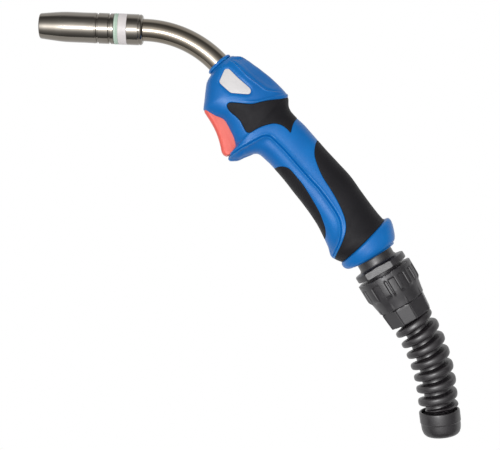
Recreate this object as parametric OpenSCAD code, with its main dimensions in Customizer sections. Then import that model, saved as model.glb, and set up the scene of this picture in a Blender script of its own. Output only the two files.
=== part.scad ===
// Welding torch for wire-fed gas-shielded arc welding.
// The torch stands in the plane y = 0, nozzle to the left, cable end down. All sizes are in millimetres.
// The origin is the middle of the grip.

/* [Neck] */
// Outer radius of the neck tube
neck_r = 8.1; // [7:0.1:10]
// Wall of the neck tube
neck_wall = 1.4; // [1:0.1:2]
// Radius of the bend of the neck, on its axis
neck_bend_r = 77.4; // [60:1:100]
// Rise of the nozzle from level, in degrees
nozzle_rise = 2.3; // [0:0.1:15]
// Slope of the neck where it leaves the handle, in degrees
neck_slope = 45; // [35:1:60]
// Straight length of the neck inside the handle
neck_tail = 36; // [30:1:50]
// Outer radius of the current conductor in the neck
conductor_r = 5; // [4:0.1:5.5]
// Radius of the wire passage in the conductor
passage_r = 2.4; // [1.5:0.1:3]

/* [Nozzle end] */
// Length of the collar on the neck's end
collar_l = 11.6; // [8:0.1:16]
// Radius of the collar on the neck's end
collar_r = 11.2; // [10.5:0.1:14]
// Length of the white insulating ring
insulator_l = 6.2; // [4:0.1:10]
// Length of the sealing ring
seal_l = 4; // [3:0.1:6]
// Length of the gas nozzle
nozzle_l = 53.3; // [45:0.1:70]
// Outer radius of the gas nozzle
nozzle_r = 11.1; // [10.6:0.1:14]
// Outer radius of the gas nozzle's mouth
mouth_r = 9.2; // [8:0.1:10]
// Inner radius of the gas nozzle's mouth
mouth_bore_r = 7.6; // [7:0.1:7.8]
// Length of the nozzle's taper
taper_l = 21; // [15:1:30]
// Length of the contact tip
tip_l = 28; // [24:1:30]
// Radius of the contact tip
tip_r = 4; // [3.5:0.1:4.5]
// Radius of the wire bore in the contact tip
wire_bore_r = 0.6; // [0.4:0.1:0.8]
// How far the contact tip sits back from the nozzle's mouth
tip_setback = 3.7; // [3:0.1:8]

/* [Handle] */
// Thickness of the handle's shells
shell_wall = 2.4; // [2:0.1:3]
// Width of the grip as a factor on its outline
grip_width = 1; // [0.95:0.01:1.2]
// Depth of the recesses for the soft pads
pad_depth = 1.3; // [1:0.1:1.5]
// Radius of the shell screws
screw_r = 1.5; // [1.2:0.1:2]

/* [Trigger] */
// Width of the trigger
trigger_w = 15; // [12:0.5:16]
// Radius of the trigger pin
pin_r = 1.5; // [1.2:0.1:2]
// Distance from the pin to the switch button
button_reach = 20; // [18:0.5:22]
// Radius of the switch button
button_r = 2; // [1.5:0.1:2.5]
// Travel of the switch button
button_travel = 2.1; // [1.5:0.1:2.4]

/* [Ball joint] */
// Radius of the ball
ball_r = 16.5; // [15.5:0.1:20]
// Wall of the ball's seat at its thinnest
seat_wall = 2; // [1.5:0.1:2.5]
// Lean of the cable end from the vertical, in degrees
cable_lean = 31; // [20:1:40]
// Tilt that the ball joint allows each way, in degrees
ball_tilt = 12; // [8:1:14]
// Radius of the stem
stem_r = 13.9; // [12:0.1:14]
// Radius of the stem's flange
flange_r = 19.75; // [18:0.1:22]
// Radius of the passage for the cable
cable_bore_r = 8.5; // [7:0.1:9]

/* [Cable nut] */
// Outer radius of the nut at its ribs
nut_r = 21.3; // [20:0.1:26]
// Length of the nut
nut_l = 38.7; // [34:0.1:46]
// Radius of the nut at its lower end
nut_end_r = 16.7; // [16.6:0.1:18]
// Number of grip slots round the nut
nut_slots = 24; // [18:1:30]

/* [Kink guard] */
// Radius of the guard over its rib, in the nut
guard_r = 15.2; // [14:0.1:16]
// Radius of the guard over the rib's widest turn
guard_wide_r = 16; // [15:0.1:17]
// Radius of the guard over the rib's last turn
guard_end_r = 14.5; // [13.5:0.1:16]
// Radius of the guard between the turns of its rib
guard_core_r = 9.6; // [9.2:0.1:11]
// Radius of the guard's bore
guard_bore_r = 7.3; // [6:0.1:7.5]
// Length of the guard between the nut and the end collar
guard_l = 71.5; // [60:0.1:90]
// Length of the guard's straight start
guard_start_l = 4; // [1:0.5:10]
// Length of the guard's bent stretch
guard_bend_l = 52; // [30:0.5:70]
// Bend of the guard, in degrees
guard_bend = 23.9; // [5:0.1:45]
// Turn of the guard's bend out of the torch's plane, in degrees
guard_roll = 10; // [0:1:60]
// Pitch of the guard's rib
rib_pitch = 9.65; // [8.5:0.05:12]
// Radius of the end collar
end_collar_r = 15; // [14:0.1:17]
// Length of the end collar
end_collar_l = 18.5; // [16:0.1:28]

/* [Fits] */
// Radial clearance of a running fit
running = 0.06; // [0.03:0.01:0.08]
// Clearance beside a moving piece
side_gap = 0.5; // [0.4:0.1:0.8]
// Gap under a seated piece
seat_gap = 0.05; // [0.05:0.01:0.1]

/* [Hidden] */
$fn = 48;
eps = 0.01;

// Colours
blue = [0.03, 0.42, 0.72];
soft_black = [0.16, 0.16, 0.16];
nickel = [0.62, 0.60, 0.57];

// Places of the main pieces in the torch's plane, each [x, z]
neck_root = [-80.1, 93.4];
trigger_pivot = [-82.1, 56.6];
ball_centre = [30.3, -41.2];
// Slope of the trigger's inner face below level, in degrees
trigger_slope = 67;

// Outline of the handle: each station runs from the belly edge to the back edge, as
// [belly x, belly z, back x, back z, half width, squareness of the section]
stations = [
    [-84.0, 82.5, -67.2, 96.7, 10.6, 2.1],
    [-85.8, 79.9, -62.8, 96.5, 12.8, 2.3],
    [-87.2, 76.6, -57.7, 94.2, 14.6, 2.4],
    [-88.1, 70.1, -52.6, 90.4, 16.0, 2.5],
    [-88.8, 63.5, -48.2, 87.2, 16.8, 2.6],
    [-89.4, 57.7, -44.5, 84.3, 17.2, 2.6],
    [-82.5, 52.2, -40.9, 81.4, 17.5, 2.6],
    [-75.9, 49.3, -37.2, 78.0, 17.6, 2.6],
    [-71.2, 42.0, -33.6, 74.5, 17.6, 2.6],
    [-68.3, 35.0, -30.7, 71.5, 17.5, 2.5],
    [-67.2, 29.9, -28.5, 68.6, 17.4, 2.5],
    [-70.4, 24.1, -27.5, 65.7, 17.2, 2.4],
    [-69.3, 20.1, -27.4, 63.1, 17.0, 2.4],
    [-60.6, 22.4, -27.4, 60.6, 17.0, 2.4],
    [-50.4, 25.4, -25.9, 56.9, 17.0, 2.4],
    [-43.1, 20.4, -21.2, 51.5, 17.0, 2.4],
    [-36.5, 13.5, -16.1, 46.7, 17.0, 2.4],
    [-29.9, 5.8, -8.0, 37.6, 17.0, 2.4],
    [-23.4, -2.6, -0.7, 29.2, 17.1, 2.4],
    [-16.8, -10.9, 8.8, 19.0, 17.3, 2.4],
    [-10.9, -19.0, 17.5, 9.5, 17.6, 2.4],
    [-5.8, -27.0, 25.6, -1.8, 18.1, 2.3],
    [-1.8, -35.0, 32.9, -11.7, 18.8, 2.2],
    [1.5, -42.3, 38.7, -19.0, 19.8, 2.2],
    [4.0, -49.6, 41.6, -21.9, 20.6, 2.1],
    [11.3, -53.3, 42.4, -21.9, 20.8, 2.1]];
// The same for the rear collar, from the shells' end to the rear face
collar_stations = [
    [11.3, -53.3, 42.4, -21.9, 20.8, 2.1],
    [11.9, -55.6, 45.2, -21.1, 21.6, 2.1],
    [14.0, -57.9, 47.2, -23.4, 21.8, 2.1],
    [16.3, -58.4, 49.3, -29.2, 21.6, 2.1],
    [18.2, -58.0, 50.9, -36.6, 20.9, 2.1]];
// Where each pad's edge crosses a station, as a share of the way from belly to back: [belly pad's edge,
// back pads' lower edge, back pads' upper edge]
pad_edges = [
    [0.10, 0.55, 0.75], [0.10, 0.50, 0.72], [0.10, 0.45, 0.65], [0.10, 0.38, 0.55], [0.10, 0.33, 0.47],
    [0.10, 0.28, 0.40], [0.10, 0.25, 0.37], [0.08, 0.19, 0.46], [0.08, 0.23, 0.68], [0.08, 0.23, 0.83],
    [0.08, 0.29, 0.94], [0.08, 0.48, 1.00], [0.08, 0.62, 1.00], [0.08, 0.66, 1.00], [0.06, 0.70, 1.00],
    [0.03, 0.88, 1.00], [0.06, 0.92, 1.00], [0.22, 0.93, 1.00], [0.22, 0.73, 1.00], [0.19, 0.61, 1.00],
    [0.16, 0.56, 1.00], [0.11, 0.53, 1.00], [0.04, 0.46, 1.00], [0.02, 0.31, 1.00], [0.02, 0.11, 1.00],
    [0.01, 0.04, 1.00]];
// First and last station of each pad; at a tip station the recess runs out
saddle_span = [6, 15];
back_span = [17, 25];
palm_span = [15, 23];
tip_depth = 0.35;
// First and last station of the label plate, and its edges at each as shares of the depth
plate_span = [2, 5];
plate_edges = [[0.43, 0.53], [0.32, 0.58], [0.38, 0.62], [0.48, 0.65]];

// Sizes worked out from the ones above
seat_bore_r = ball_r + 2 * running + seat_wall;
rear_growth = max(seat_bore_r - 18.6, 0);
neck_bore_r = neck_r - neck_wall;
neck_draw = 0.04;
neck_hole_r = neck_r + neck_draw + seat_gap;
insulator_z = collar_l + 1.5;
seal_z = insulator_z + insulator_l;
nozzle_z = seal_z + seal_l;
mouth_z = nozzle_z + nozzle_l;
tip_z = mouth_z - tip_setback;
holder_l = 35;
tip_thread_l = 8;
tip_lead_l = 9;
holder_z = tip_z - tip_l + tip_thread_l - holder_l;
spigot_l = 12;
spigot_r = neck_r - 0.5;
holder_hex_r = 6.2;
holder_root_l = 9;
nut_z = 23.1;
guard_z = nut_z + nut_l;
flange_z = 16.75;
flange_l = 4;
rear_face_z = 8.4;
seat_front_z = -7;
seat_rear_z = 5.2;
guard_bend_r = guard_bend_l * 180 / (PI * guard_bend);

// Places and directions

// Middle of the neck's bend, and the angles on it of the neck's two ends
bend_x = neck_root[0] - neck_bend_r * cos(neck_slope);
bend_z = neck_root[1] - neck_bend_r * sin(neck_slope);
front_angle = 90 - nozzle_rise;

// Frame on the neck's bend at an angle: z points along the neck towards the mouth
module at_bend(angle) {
    translate([bend_x, 0, bend_z]) rotate([0, -angle, 0]) translate([neck_bend_r, 0, 0]) children();
}

// Frame of the trigger: x runs down along it from the pivot, y points into the handle
module at_trigger() {
    translate([trigger_pivot[0], 0, trigger_pivot[1]]) rotate([90, trigger_slope, 0]) children();
}

// Frame of the ball joint: z points out along the cable
module at_ball() {
    translate([ball_centre[0], 0, ball_centre[1]]) rotate([0, 180 - cable_lean, 0]) children();
}

// Frame of the guard's start: it bends from z towards x
module at_guard() {
    at_ball() rotate([0, 0, guard_roll]) translate([0, 0, guard_z]) children();
}

// Frame of the guard's lower end
module at_guard_end() {
    at_guard() translate([guard_bend_r, 0, guard_start_l]) rotate([0, guard_bend, 0])
        translate([-guard_bend_r, 0, guard_l - guard_start_l - guard_bend_l]) children();
}

// Building blocks

module ring(outer, inner, length) {
    difference() {
        cylinder(r = outer, h = length);
        translate([0, 0, -1]) cylinder(r = inner, h = length + 2);
    }
}

// Solid of revolution from a profile of [radius, height] points
module turned(profile) {
    rotate_extrude() polygon(profile);
}

// The bend of the neck as a round bar
module neck_bend(radius) {
    translate([bend_x, 0, bend_z]) rotate([90, 0, 0])
        rotate_extrude(angle = front_angle - neck_slope, start = neck_slope)
            translate([neck_bend_r, 0]) circle(r = radius);
}

// A pipe along the neck: a straight front, the bend and a straight tail. The bend is drawn a hair thinner.
module neck_pipe(outer, inner, front, tail) {
    difference() {
        union() {
            at_bend(front_angle) cylinder(r = outer + neck_draw, h = front);
            neck_bend(outer);
            at_bend(neck_slope) translate([0, 0, -tail]) cylinder(r = outer + neck_draw, h = tail);
        }
        at_bend(front_angle) translate([0, 0, -eps]) cylinder(r = inner + neck_draw, h = front + 1);
        neck_bend(inner);
        at_bend(neck_slope) translate([0, 0, -tail - 1]) cylinder(r = inner + neck_draw, h = tail + 1 + eps);
    }
}

// Faces of a loft through rows of loops. A loop goes out along one line and back along another, and each line
// has the same number of points, so strips between the lines close the ends.
function loft_faces(rows, half) = let (n = 2 * half, last = (rows - 1) * n) concat(
    [for (i = [0:rows - 2], j = [0:n - 1])
        let (a = i * n + j, b = i * n + (j + 1) % n)
            each j < half ? [[a, b, b + n], [a, b + n, a + n]] : [[a, b, a + n], [b, b + n, a + n]]],
    [for (k = [0:half - 2])
        each [[k, n - 1 - k, n - 2 - k], [k, n - 2 - k, k + 1]]],
    [for (k = [0:half - 2])
        each [[last + k, last + k + 1, last + n - 2 - k], [last + k, last + n - 2 - k, last + n - 1 - k]]]);

// Faces of a chain of closed rings that ends where it starts
function chain_faces(rings, sides) =
    [for (i = [0:rings - 1], j = [0:sides - 1])
        let (a = i * sides + j, b = i * sides + (j + 1) % sides,
            c = (i + 1) % rings * sides + (j + 1) % sides, d = (i + 1) % rings * sides + j)
            each [[a, c, b], [a, d, c]]];

// Faces of a tube with flat ends
function tube_faces(rings, sides) = concat(
    [for (i = [0:rings - 2], j = [0:sides - 1])
        let (a = i * sides + j, b = i * sides + (j + 1) % sides)
            each [[a, b + sides, b], [a, a + sides, b + sides]]],
    [for (j = [1:sides - 2]) [0, j, j + 1]],
    [for (j = [1:sides - 2]) let (last = (rings - 1) * sides) [last, last + j + 1, last + j]]);

// A coil spring along z, one unbroken tube
coil_steps = 8;
wire_sides = 6;
module coil(radius, wire, length, turns) {
    rings = turns * coil_steps + 1;
    rise = (length - 2 * wire) / turns;
    loops = [for (i = [0:rings - 1])
        let (turn = i / coil_steps, round = 360 * turn)
            [for (j = [0:wire_sides - 1]) let (side = 360 * j / wire_sides, r = radius + wire * cos(side))
                [r * cos(round), r * sin(round), wire + rise * turn + wire * sin(side)]]];
    least = min([for (i = [0:rings - 1 - coil_steps], j = [0:wire_sides - 1], k = [0:wire_sides - 1])
        norm(loops[i][j] - loops[i + coil_steps][k])]);
    echo(str("least gap between the turns of a coil: ", least, " mm"));
    polyhedron([for (loop = loops) each loop], tube_faces(rings, wire_sides));
}

// Handle surface

// Angle on a section at which it stands a share of the way from belly to back
function edge_angle(share, squareness) = let (c = 1 - 2 * share)
    min(max(atan2(pow(max(1 - pow(abs(c), squareness), 0), 1 / squareness), c), 1.5), 177.5);

// Growth of the rear stations when the ball's seat is made larger
function growth(i) = rear_growth * min(max((i - 18) / 5, 0), 1);

// A point on a station's section at an angle, set in from the surface
function section_point(row, angle, inset, grow) =
    let (mid = [(row[0] + row[2]) / 2, (row[1] + row[3]) / 2], run = [row[2] - row[0], row[3] - row[1]],
        half = norm(run) / 2, n = row[5],
        reach = pow(pow(abs(cos(angle)), n) + pow(abs(sin(angle)), n), -1 / n),
        along = -(half + grow - inset) * reach * cos(angle) / norm(run))
        [mid[0] + run[0] * along, -(row[4] * grip_width + grow - inset) * reach * sin(angle),
            mid[1] + run[1] * along];

// Angles of the lengthwise lines at a station: the pads' edges are pairs of lines with a step between
step = 1.2;
function lines_at(i) = let (n = stations[i][5], palm = edge_angle(pad_edges[i][0], n),
    low = edge_angle(pad_edges[i][1], n), high = edge_angle(pad_edges[i][2], n))
    concat([0, palm / 3, palm * 2 / 3, palm - step / 2, palm + step / 2],
        [for (k = [1:3]) palm + (low - palm) * k / 4],
        [low, low + step],
        [for (k = [1:5]) low + (high - low) * k / 6],
        [high - step, high, high + (180 - high) / 3, high + (180 - high) * 2 / 3, 180]);
palm_lines = [0, 3];
back_lines = [9, 15];

// Depth of a pad's recess at a station: full between its end stations, run out at a tip
function span_depth(i, span, last) = i < span[0] || i > span[1] ? 0
    : i == span[0] || i == span[1] && !last ? tip_depth : pad_depth;
function palm_depth(i) = span_depth(i, palm_span, false);
function back_depth(i) = span_depth(i, saddle_span, false) + span_depth(i, back_span, true);
function recess(i, j) = j <= palm_lines[1] ? palm_depth(i)
    : j >= back_lines[0] && j <= back_lines[1] ? back_depth(i) : 0;

function surface_point(i, j, inset) = section_point(stations[i], lines_at(i)[j], inset, growth(i));

// The handle's left half, filled, set in by a margin below the recesses
module filled_half(margin) {
    count = len(stations);
    lines = len(lines_at(0));
    points = [for (i = [0:count - 1]) each concat(
        [for (j = [0:lines - 1]) surface_point(i, j, recess(i, j) + margin)],
        [for (j = [lines - 1:-1:0]) let (p = surface_point(i, j, recess(i, j) + margin)) [p[0], eps, p[2]]])];
    polyhedron(points, loft_faces(count, lines));
}

// The wall of the handle's left half
module wall_half() {
    count = len(stations);
    lines = len(lines_at(0));
    points = [for (i = [0:count - 1]) each concat(
        [for (j = [0:lines - 1]) surface_point(i, j, recess(i, j))],
        [for (j = [lines - 1:-1:0]) surface_point(i, j, shell_wall)])];
    polyhedron(points, loft_faces(count, lines));
}

// A soft pad of the left half, flush with the surface round its recess
module pad(span, lines) {
    points = [for (i = [span[0]:span[1]]) each concat(
        [for (j = [lines[0]:lines[1]]) surface_point(i, j, 0)],
        [for (j = [lines[1]:-1:lines[0]]) surface_point(i, j, recess(i, j) - seat_gap)])];
    polyhedron(points, loft_faces(span[1] - span[0] + 1, lines[1] - lines[0] + 1));
}

// Bosses in the handle, each [x, z, radius, distance of its end from the middle plane]
screw_places = [[-50.5, 82.0], [-81.4, 71.5], [-51.1, 31.3], [-10.9, 21.2], [2.2, -19.7]];
screw_boss_r = 3.6;
pin_boss_r = 3.4;
block_z = -neck_tail - 6;
block_l = 26;
block_r = 9;
block_grip_z = block_z - 4;
block_grip = [neck_root[0] - block_grip_z * cos(neck_slope), neck_root[1] + block_grip_z * sin(neck_slope)];
switch_w = 12;
function in_trigger(x, y) = [trigger_pivot[0] + x * cos(trigger_slope) + y * sin(trigger_slope),
    trigger_pivot[1] - x * sin(trigger_slope) + y * cos(trigger_slope)];
switch_clamps = [in_trigger(15, 15), in_trigger(27, 15)];

// A cylinder across the handle from one distance of the middle plane to another, on the left side
module across(place, radius, from, to) {
    translate([place[0], -from, place[1]]) rotate([90, 0, 0]) cylinder(r = radius, h = to - from);
}

boss_reach = 24;
module bosses() {
    for (place = screw_places) across(place, screw_boss_r, 0, boss_reach);
    across(trigger_pivot, pin_boss_r, trigger_w / 2 + side_gap, boss_reach);
    for (place = switch_clamps) across(place, 2.5, switch_w / 2 + seat_gap, boss_reach);
    across(block_grip, 4, block_r + seat_gap, boss_reach);
}

// What is cut from both halves: the neck, the ball's seat, the trigger's slot and the pin's holes
module common_cuts() {
    at_bend(neck_slope) translate([0, 0, -18]) cylinder(r = neck_hole_r, h = 30);
    at_ball() translate([0, 0, seat_front_z - 0.3]) cylinder(r = seat_bore_r, h = 30);
    at_trigger() translate([0, 0, -trigger_w / 2 - side_gap]) linear_extrude(trigger_w + 2 * side_gap)
        polygon(slot_profile);
    translate([trigger_pivot[0], 12.5, trigger_pivot[1]]) rotate([90, 0, 0])
        cylinder(r = pin_r + 0.02, h = 25);
}

module shell_half() {
    difference() {
        union() {
            wall_half();
            intersection() {
                bosses();
                filled_half(0.5);
            }
        }
        common_cuts();
    }
}

// Trigger outline in its own frame: [along from the pivot, into the handle]
trigger_back = 7;
trigger_profile = [
    [-2.4, -5.7], [1.2, -5.6], [8, -4.6], [14.5, -4.1], [20.7, -4.4], [25.2, -5.1], [29.5, -6.1],
    [32.1, -5.6], [34, -4], [33.6, -2.3], [32.6, 0], [31.2, trigger_back], [3, trigger_back], [-3.4, 3],
    [-4.2, 0]];
// The slot for it in the handle, with room for the swing
slot_profile = [
    [-4.9, -7], [-4.9, 0], [-4, 3.4], [2.6, 7.6], [12, 9], [31, 11.3], [34.2, 8], [35.2, 0], [35.4, -4],
    [34.6, -12], [0, -12]];

// Front end

module gas_nozzle() {
    color(nickel) at_bend(front_angle) difference() {
        translate([0, 0, nozzle_z]) turned([
            [nozzle_r - 1.5, 0.1], [nozzle_r - 0.2, 0.1], [nozzle_r, 0.4], [nozzle_r, 1.8],
            [nozzle_r - 0.35, 2.1], [nozzle_r - 0.35, 2.7], [nozzle_r, 3], [nozzle_r, 10.5],
            [nozzle_r - 0.35, 10.8],
            [nozzle_r - 0.35, 11.6], [nozzle_r - 0.1, 11.9], [nozzle_r - 0.1, nozzle_l - taper_l],
            [mouth_r + 0.75, nozzle_l - taper_l / 2.6], [mouth_r, nozzle_l - 0.5], [mouth_r - 0.4, nozzle_l],
            [mouth_bore_r + 0.3, nozzle_l], [mouth_bore_r, nozzle_l - 0.5], [mouth_bore_r, nozzle_l - 17],
            [nozzle_r - 1.4, nozzle_l - 24], [nozzle_r - 1.4, 0.1]]);
        translate([0, 0, nozzle_z - 1]) cylinder(r = nozzle_r - 1.5, h = 20);
    }
}

module nozzle_spring() {
    color("silver") at_bend(front_angle) translate([0, 0, nozzle_z + 1])
        coil(spigot_r + 1.3, 0.4, 8.5, 5);
}

module contact_tip() {
    color([0.80, 0.45, 0.27]) at_bend(front_angle) translate([0, 0, tip_z - tip_l]) difference() {
        turned([[0, 0], [2.8, 0], [3, 0.4], [3, tip_thread_l], [tip_r, tip_thread_l], [tip_r, tip_l - 4.5],
            [tip_r - 1.4, tip_l - 0.5], [tip_r - 1.9, tip_l], [0, tip_l]]);
        translate([0, 0, -1]) cylinder(r = wire_bore_r, h = tip_l + 2);
        translate([0, 0, -1]) cylinder(r = 1.2, h = tip_lead_l + 1);
    }
}

module tip_holder() {
    color([0.83, 0.66, 0.32]) at_bend(front_angle) translate([0, 0, holder_z]) difference() {
        union() {
            cylinder(r = conductor_r, h = holder_root_l);
            translate([0, 0, holder_root_l]) cylinder(r = holder_hex_r, h = 7, $fn = 6);
            translate([0, 0, holder_root_l + 7]) cylinder(r = 5, h = holder_l - holder_root_l - 7);
        }
        translate([0, 0, -1]) cylinder(r = passage_r, h = holder_l - tip_thread_l + 2);
        translate([0, 0, holder_l - tip_thread_l]) cylinder(r = 3, h = tip_thread_l + 1);
        for (k = [0:3]) rotate([0, 0, 90 * k + 45]) translate([0, 0, 20]) rotate([0, 90, 0])
            cylinder(r = 0.9, h = 8);
    }
}

module seal_ring() {
    color([0.78, 0.89, 0.83]) at_bend(front_angle) translate([0, 0, seal_z]) difference() {
        turned([[0, 0], [nozzle_r - 0.1, 0], [nozzle_r + 0.1, 0.3], [nozzle_r + 0.1, seal_l - 0.5],
            [nozzle_r - 0.2, seal_l], [0, seal_l]]);
        translate([0, 0, -1]) cylinder(r = neck_r + 0.45, h = seal_l + 2);
    }
}

module insulator_ring() {
    color([0.92, 0.91, 0.92]) at_bend(front_angle) translate([0, 0, insulator_z]) difference() {
        union() {
            cylinder(r = nozzle_r + 0.2, h = insulator_l);
            cylinder(r = neck_r + 0.4, h = insulator_l + seal_l);
            cylinder(r = spigot_r, h = insulator_l + seal_l + spigot_l);
        }
        translate([0, 0, -1]) cylinder(r = conductor_r + seat_gap, h = insulator_l + seal_l + spigot_l + 2);
        translate([0, 0, holder_z + holder_root_l - 0.3 - insulator_z])
            cylinder(r = holder_hex_r + 0.3, h = 30);
    }
}

module neck_collar() {
    color(nickel) at_bend(front_angle) translate([0, 0, 1.5]) difference() {
        union() {
            translate([0, 0, 2.4]) cylinder(r = collar_r, h = collar_l - 2.4);
            cylinder(r = collar_r - 2.4, h = collar_l);
            translate([0, 0, 2.4]) rotate_extrude() translate([collar_r - 2.4, 0]) circle(r = 2.4);
        }
        translate([0, 0, -2]) cylinder(r = neck_hole_r, h = collar_l + 4);
    }
}

// Neck

module neck_tube() {
    color(nickel) neck_pipe(neck_r, neck_bore_r, insulator_z, neck_tail);
}

module neck_insulation() {
    color("ivory") neck_pipe(neck_bore_r - seat_gap, conductor_r + seat_gap, insulator_z - 0.1, neck_tail);
}

module neck_conductor() {
    color([0.80, 0.45, 0.27]) neck_pipe(conductor_r, passage_r, holder_z, neck_tail);
}

module neck_block() {
    color([0.83, 0.66, 0.32]) at_bend(neck_slope) translate([0, 0, block_z - block_l + 12]) difference() {
        union() {
            cylinder(r = block_r, h = block_l);
            translate([0, 0, -12]) cylinder(r = 6, h = 12);
        }
        translate([0, 0, block_l - 6]) cylinder(r = neck_hole_r, h = 8);
        translate([0, 0, -13]) cylinder(r = passage_r, h = block_l + 14);
        translate([0, 0, block_l - 3]) rotate([-90, 0, 0]) cylinder(r = 2, h = block_r + 1);
    }
}

module clamp_screw() {
    color([0.35, 0.35, 0.37]) at_bend(neck_slope) translate([0, 0, block_z + 9]) rotate([-90, 0, 0])
        translate([0, 0, neck_hole_r]) difference() {
            cylinder(r = 1.95, h = 4);
            translate([0, 0, 2]) cylinder(r = 1.1, h = 3, $fn = 6);
        }
}

// Handle

module nose_ring() {
    color(blue) at_bend(neck_slope) translate([0, 0, -4.8]) difference() {
        union() {
            translate([0, 0, 0.5]) cylinder(r = 10, h = 1.8);
            cylinder(r = 9.4, h = 2.8);
        }
        translate([0, 0, -1]) cylinder(r = neck_hole_r, h = 5);
    }
}

module shell_left() {
    color(blue) difference() {
        shell_half();
        for (place = screw_places) across(place, screw_r, -1, 9);
    }
}

module shell_right() {
    color(blue) mirror([0, 1, 0]) difference() {
        shell_half();
        for (place = screw_places) {
            across(place, screw_r + 0.2, -1, boss_reach);
            across(place, 2.9, 7, boss_reach);
        }
    }
}

module saddle_pad_left() {
    color(soft_black) pad(saddle_span, back_lines);
}

module saddle_pad_right() {
    mirror([0, 1, 0]) saddle_pad_left();
}

module back_pad_left() {
    color(soft_black) pad(back_span, back_lines);
}

module back_pad_right() {
    mirror([0, 1, 0]) back_pad_left();
}

module palm_pad_left() {
    color(soft_black) pad(palm_span, palm_lines);
}

module palm_pad_right() {
    mirror([0, 1, 0]) palm_pad_left();
}

plate_t = 0.5;
plate_gap = 0.12;
plate_steps = 4;
module label_plate_left() {
    points = [for (i = [plate_span[0]:plate_span[1]])
        let (row = stations[i], edges = plate_edges[i - plate_span[0]], low = edge_angle(edges[0], row[5]),
            high = edge_angle(edges[1], row[5]), spread = (high - low) / plate_steps)
            each concat(
                [for (j = [0:plate_steps]) section_point(row, low + spread * j, -plate_t - plate_gap, 0)],
                [for (j = [plate_steps:-1:0]) section_point(row, low + spread * j, -plate_gap, 0)])];
    color([0.93, 0.93, 0.94])
        polyhedron(points, loft_faces(plate_span[1] - plate_span[0] + 1, plate_steps + 1));
}

module label_plate_right() {
    mirror([0, 1, 0]) label_plate_left();
}

collar_lines = 15;
module rear_collar() {
    first = 5;
    points = [for (row = collar_stations) each concat(
        [for (j = [0:collar_lines])
            section_point(row, first + (180 - 2 * first) * j / collar_lines, 0, rear_growth)],
        [for (j = [collar_lines:-1:0])
            let (p = section_point(row, first + (180 - 2 * first) * j / collar_lines, 0, rear_growth))
                [p[0], -p[1], p[2]]])];
    color(blue) difference() {
        polyhedron(points, loft_faces(len(collar_stations), collar_lines + 1));
        at_ball() translate([0, 0, seat_rear_z + 0.2 - 40]) cylinder(r = seat_bore_r, h = 40);
        at_ball() translate([0, 0, -20]) cylinder(r = collar_opening_r, h = 60);
    }
}
// The opening clears the stem at full tilt, and the ball where it stands out of its seat
stem_start = sqrt(ball_r * ball_r - stem_r * stem_r);
opening_gap = 0.35;
tilted_stem_r = stem_r * cos(ball_tilt) + stem_start * sin(ball_tilt)
    + (rear_face_z - stem_start * cos(ball_tilt) + stem_r * sin(ball_tilt)) * tan(ball_tilt);
collar_opening_r = max(tilted_stem_r, sqrt(ball_r * ball_r - seat_rear_z * seat_rear_z)) + opening_gap;

module shell_screws() {
    color([0.75, 0.75, 0.76]) for (place = screw_places) mirror([0, 1, 0]) {
        across(place, screw_r - 0.02, -8.5, 7.5);
        difference() {
            across(place, 2.7, 7.05, 9.2);
            translate([place[0], -8.2, place[1]]) rotate([90, 0, 0]) cylinder(r = 1.2, h = 3, $fn = 6);
        }
    }
}

// Trigger and switch

module trigger() {
    color([1.0, 0.45, 0.41]) at_trigger() difference() {
        union() {
            translate([0, 0, -trigger_w / 2 + 1]) linear_extrude(trigger_w - 2) polygon(trigger_profile);
            translate([0, 0, -trigger_w / 2]) linear_extrude(trigger_w)
                polygon([for (p = trigger_profile) [p[0] < 0 ? p[0] + 0.4 : p[0] > 32 ? p[0] - 0.8 : p[0],
                    p[1] < -2 ? p[1] + 1 : p[1]]]);
        }
        translate([0, 0, -trigger_w]) cylinder(r = pin_r + running, h = 2 * trigger_w);
        translate([7, 1.5, -trigger_w / 2 + 2]) cube([22, 3.5, trigger_w - 4]);
    }
}

module trigger_pin() {
    color("silver") translate([trigger_pivot[0], 12, trigger_pivot[1]]) rotate([90, 0, 0])
        cylinder(r = pin_r, h = 24);
}

spring_reach = 7.2;
spring_l = 6;
module trigger_spring() {
    color("silver") at_trigger() translate([spring_reach, trigger_back + 0.1, 0]) rotate([-90, 0, 0])
        coil(2.2, 0.35, spring_l, 5);
}

switch_front = trigger_back + 3.2;
switch_depth = 9;
module switch_body() {
    color([0.15, 0.15, 0.16]) at_trigger() difference() {
        union() {
            translate([11.5, switch_front, -switch_w / 2]) cube([18.5, switch_depth, switch_w]);
            translate([4, trigger_back + spring_l + 0.2, -switch_w / 2]) cube([8, 2, switch_w]);
        }
        translate([button_reach, switch_front - 1, 0]) rotate([-90, 0, 0])
            cylinder(r = button_r + running, h = 1 + button_l - 2.8 + button_travel + 0.6);
    }
}

button_l = 7.5;
button_gap = 0.2;
module switch_button() {
    color([0.85, 0.2, 0.15]) at_trigger()
        translate([button_reach, trigger_back + button_gap, 0]) rotate([-90, 0, 0]) intersection() {
            cylinder(r = button_r, h = button_l);
            translate([0, 0, 2 * button_r]) union() {
                sphere(r = 2 * button_r);
                cylinder(r = 2 * button_r, h = button_l);
            }
        }
}

module switch_terminals() {
    color([0.85, 0.72, 0.40]) at_trigger() for (x = [14.5, 25])
        translate([x, switch_front + switch_depth, -1.4]) difference() {
            cube([0.6, 6, 2.8]);
            translate([-1, 4.2, 1.4]) rotate([0, 90, 0]) cylinder(r = 0.6, h = 3);
        }
}

// Ball joint and cable end

module ball_seat() {
    color([0.25, 0.25, 0.26]) difference() {
        at_ball() difference() {
            translate([0, 0, seat_front_z])
                cylinder(r = seat_bore_r - running, h = seat_rear_z - seat_front_z);
            sphere(r = ball_r + running);
        }
        translate([ball_centre[0] - 50, -0.25, ball_centre[1] - 50]) cube([100, 0.5, 100]);
    }
}

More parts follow.
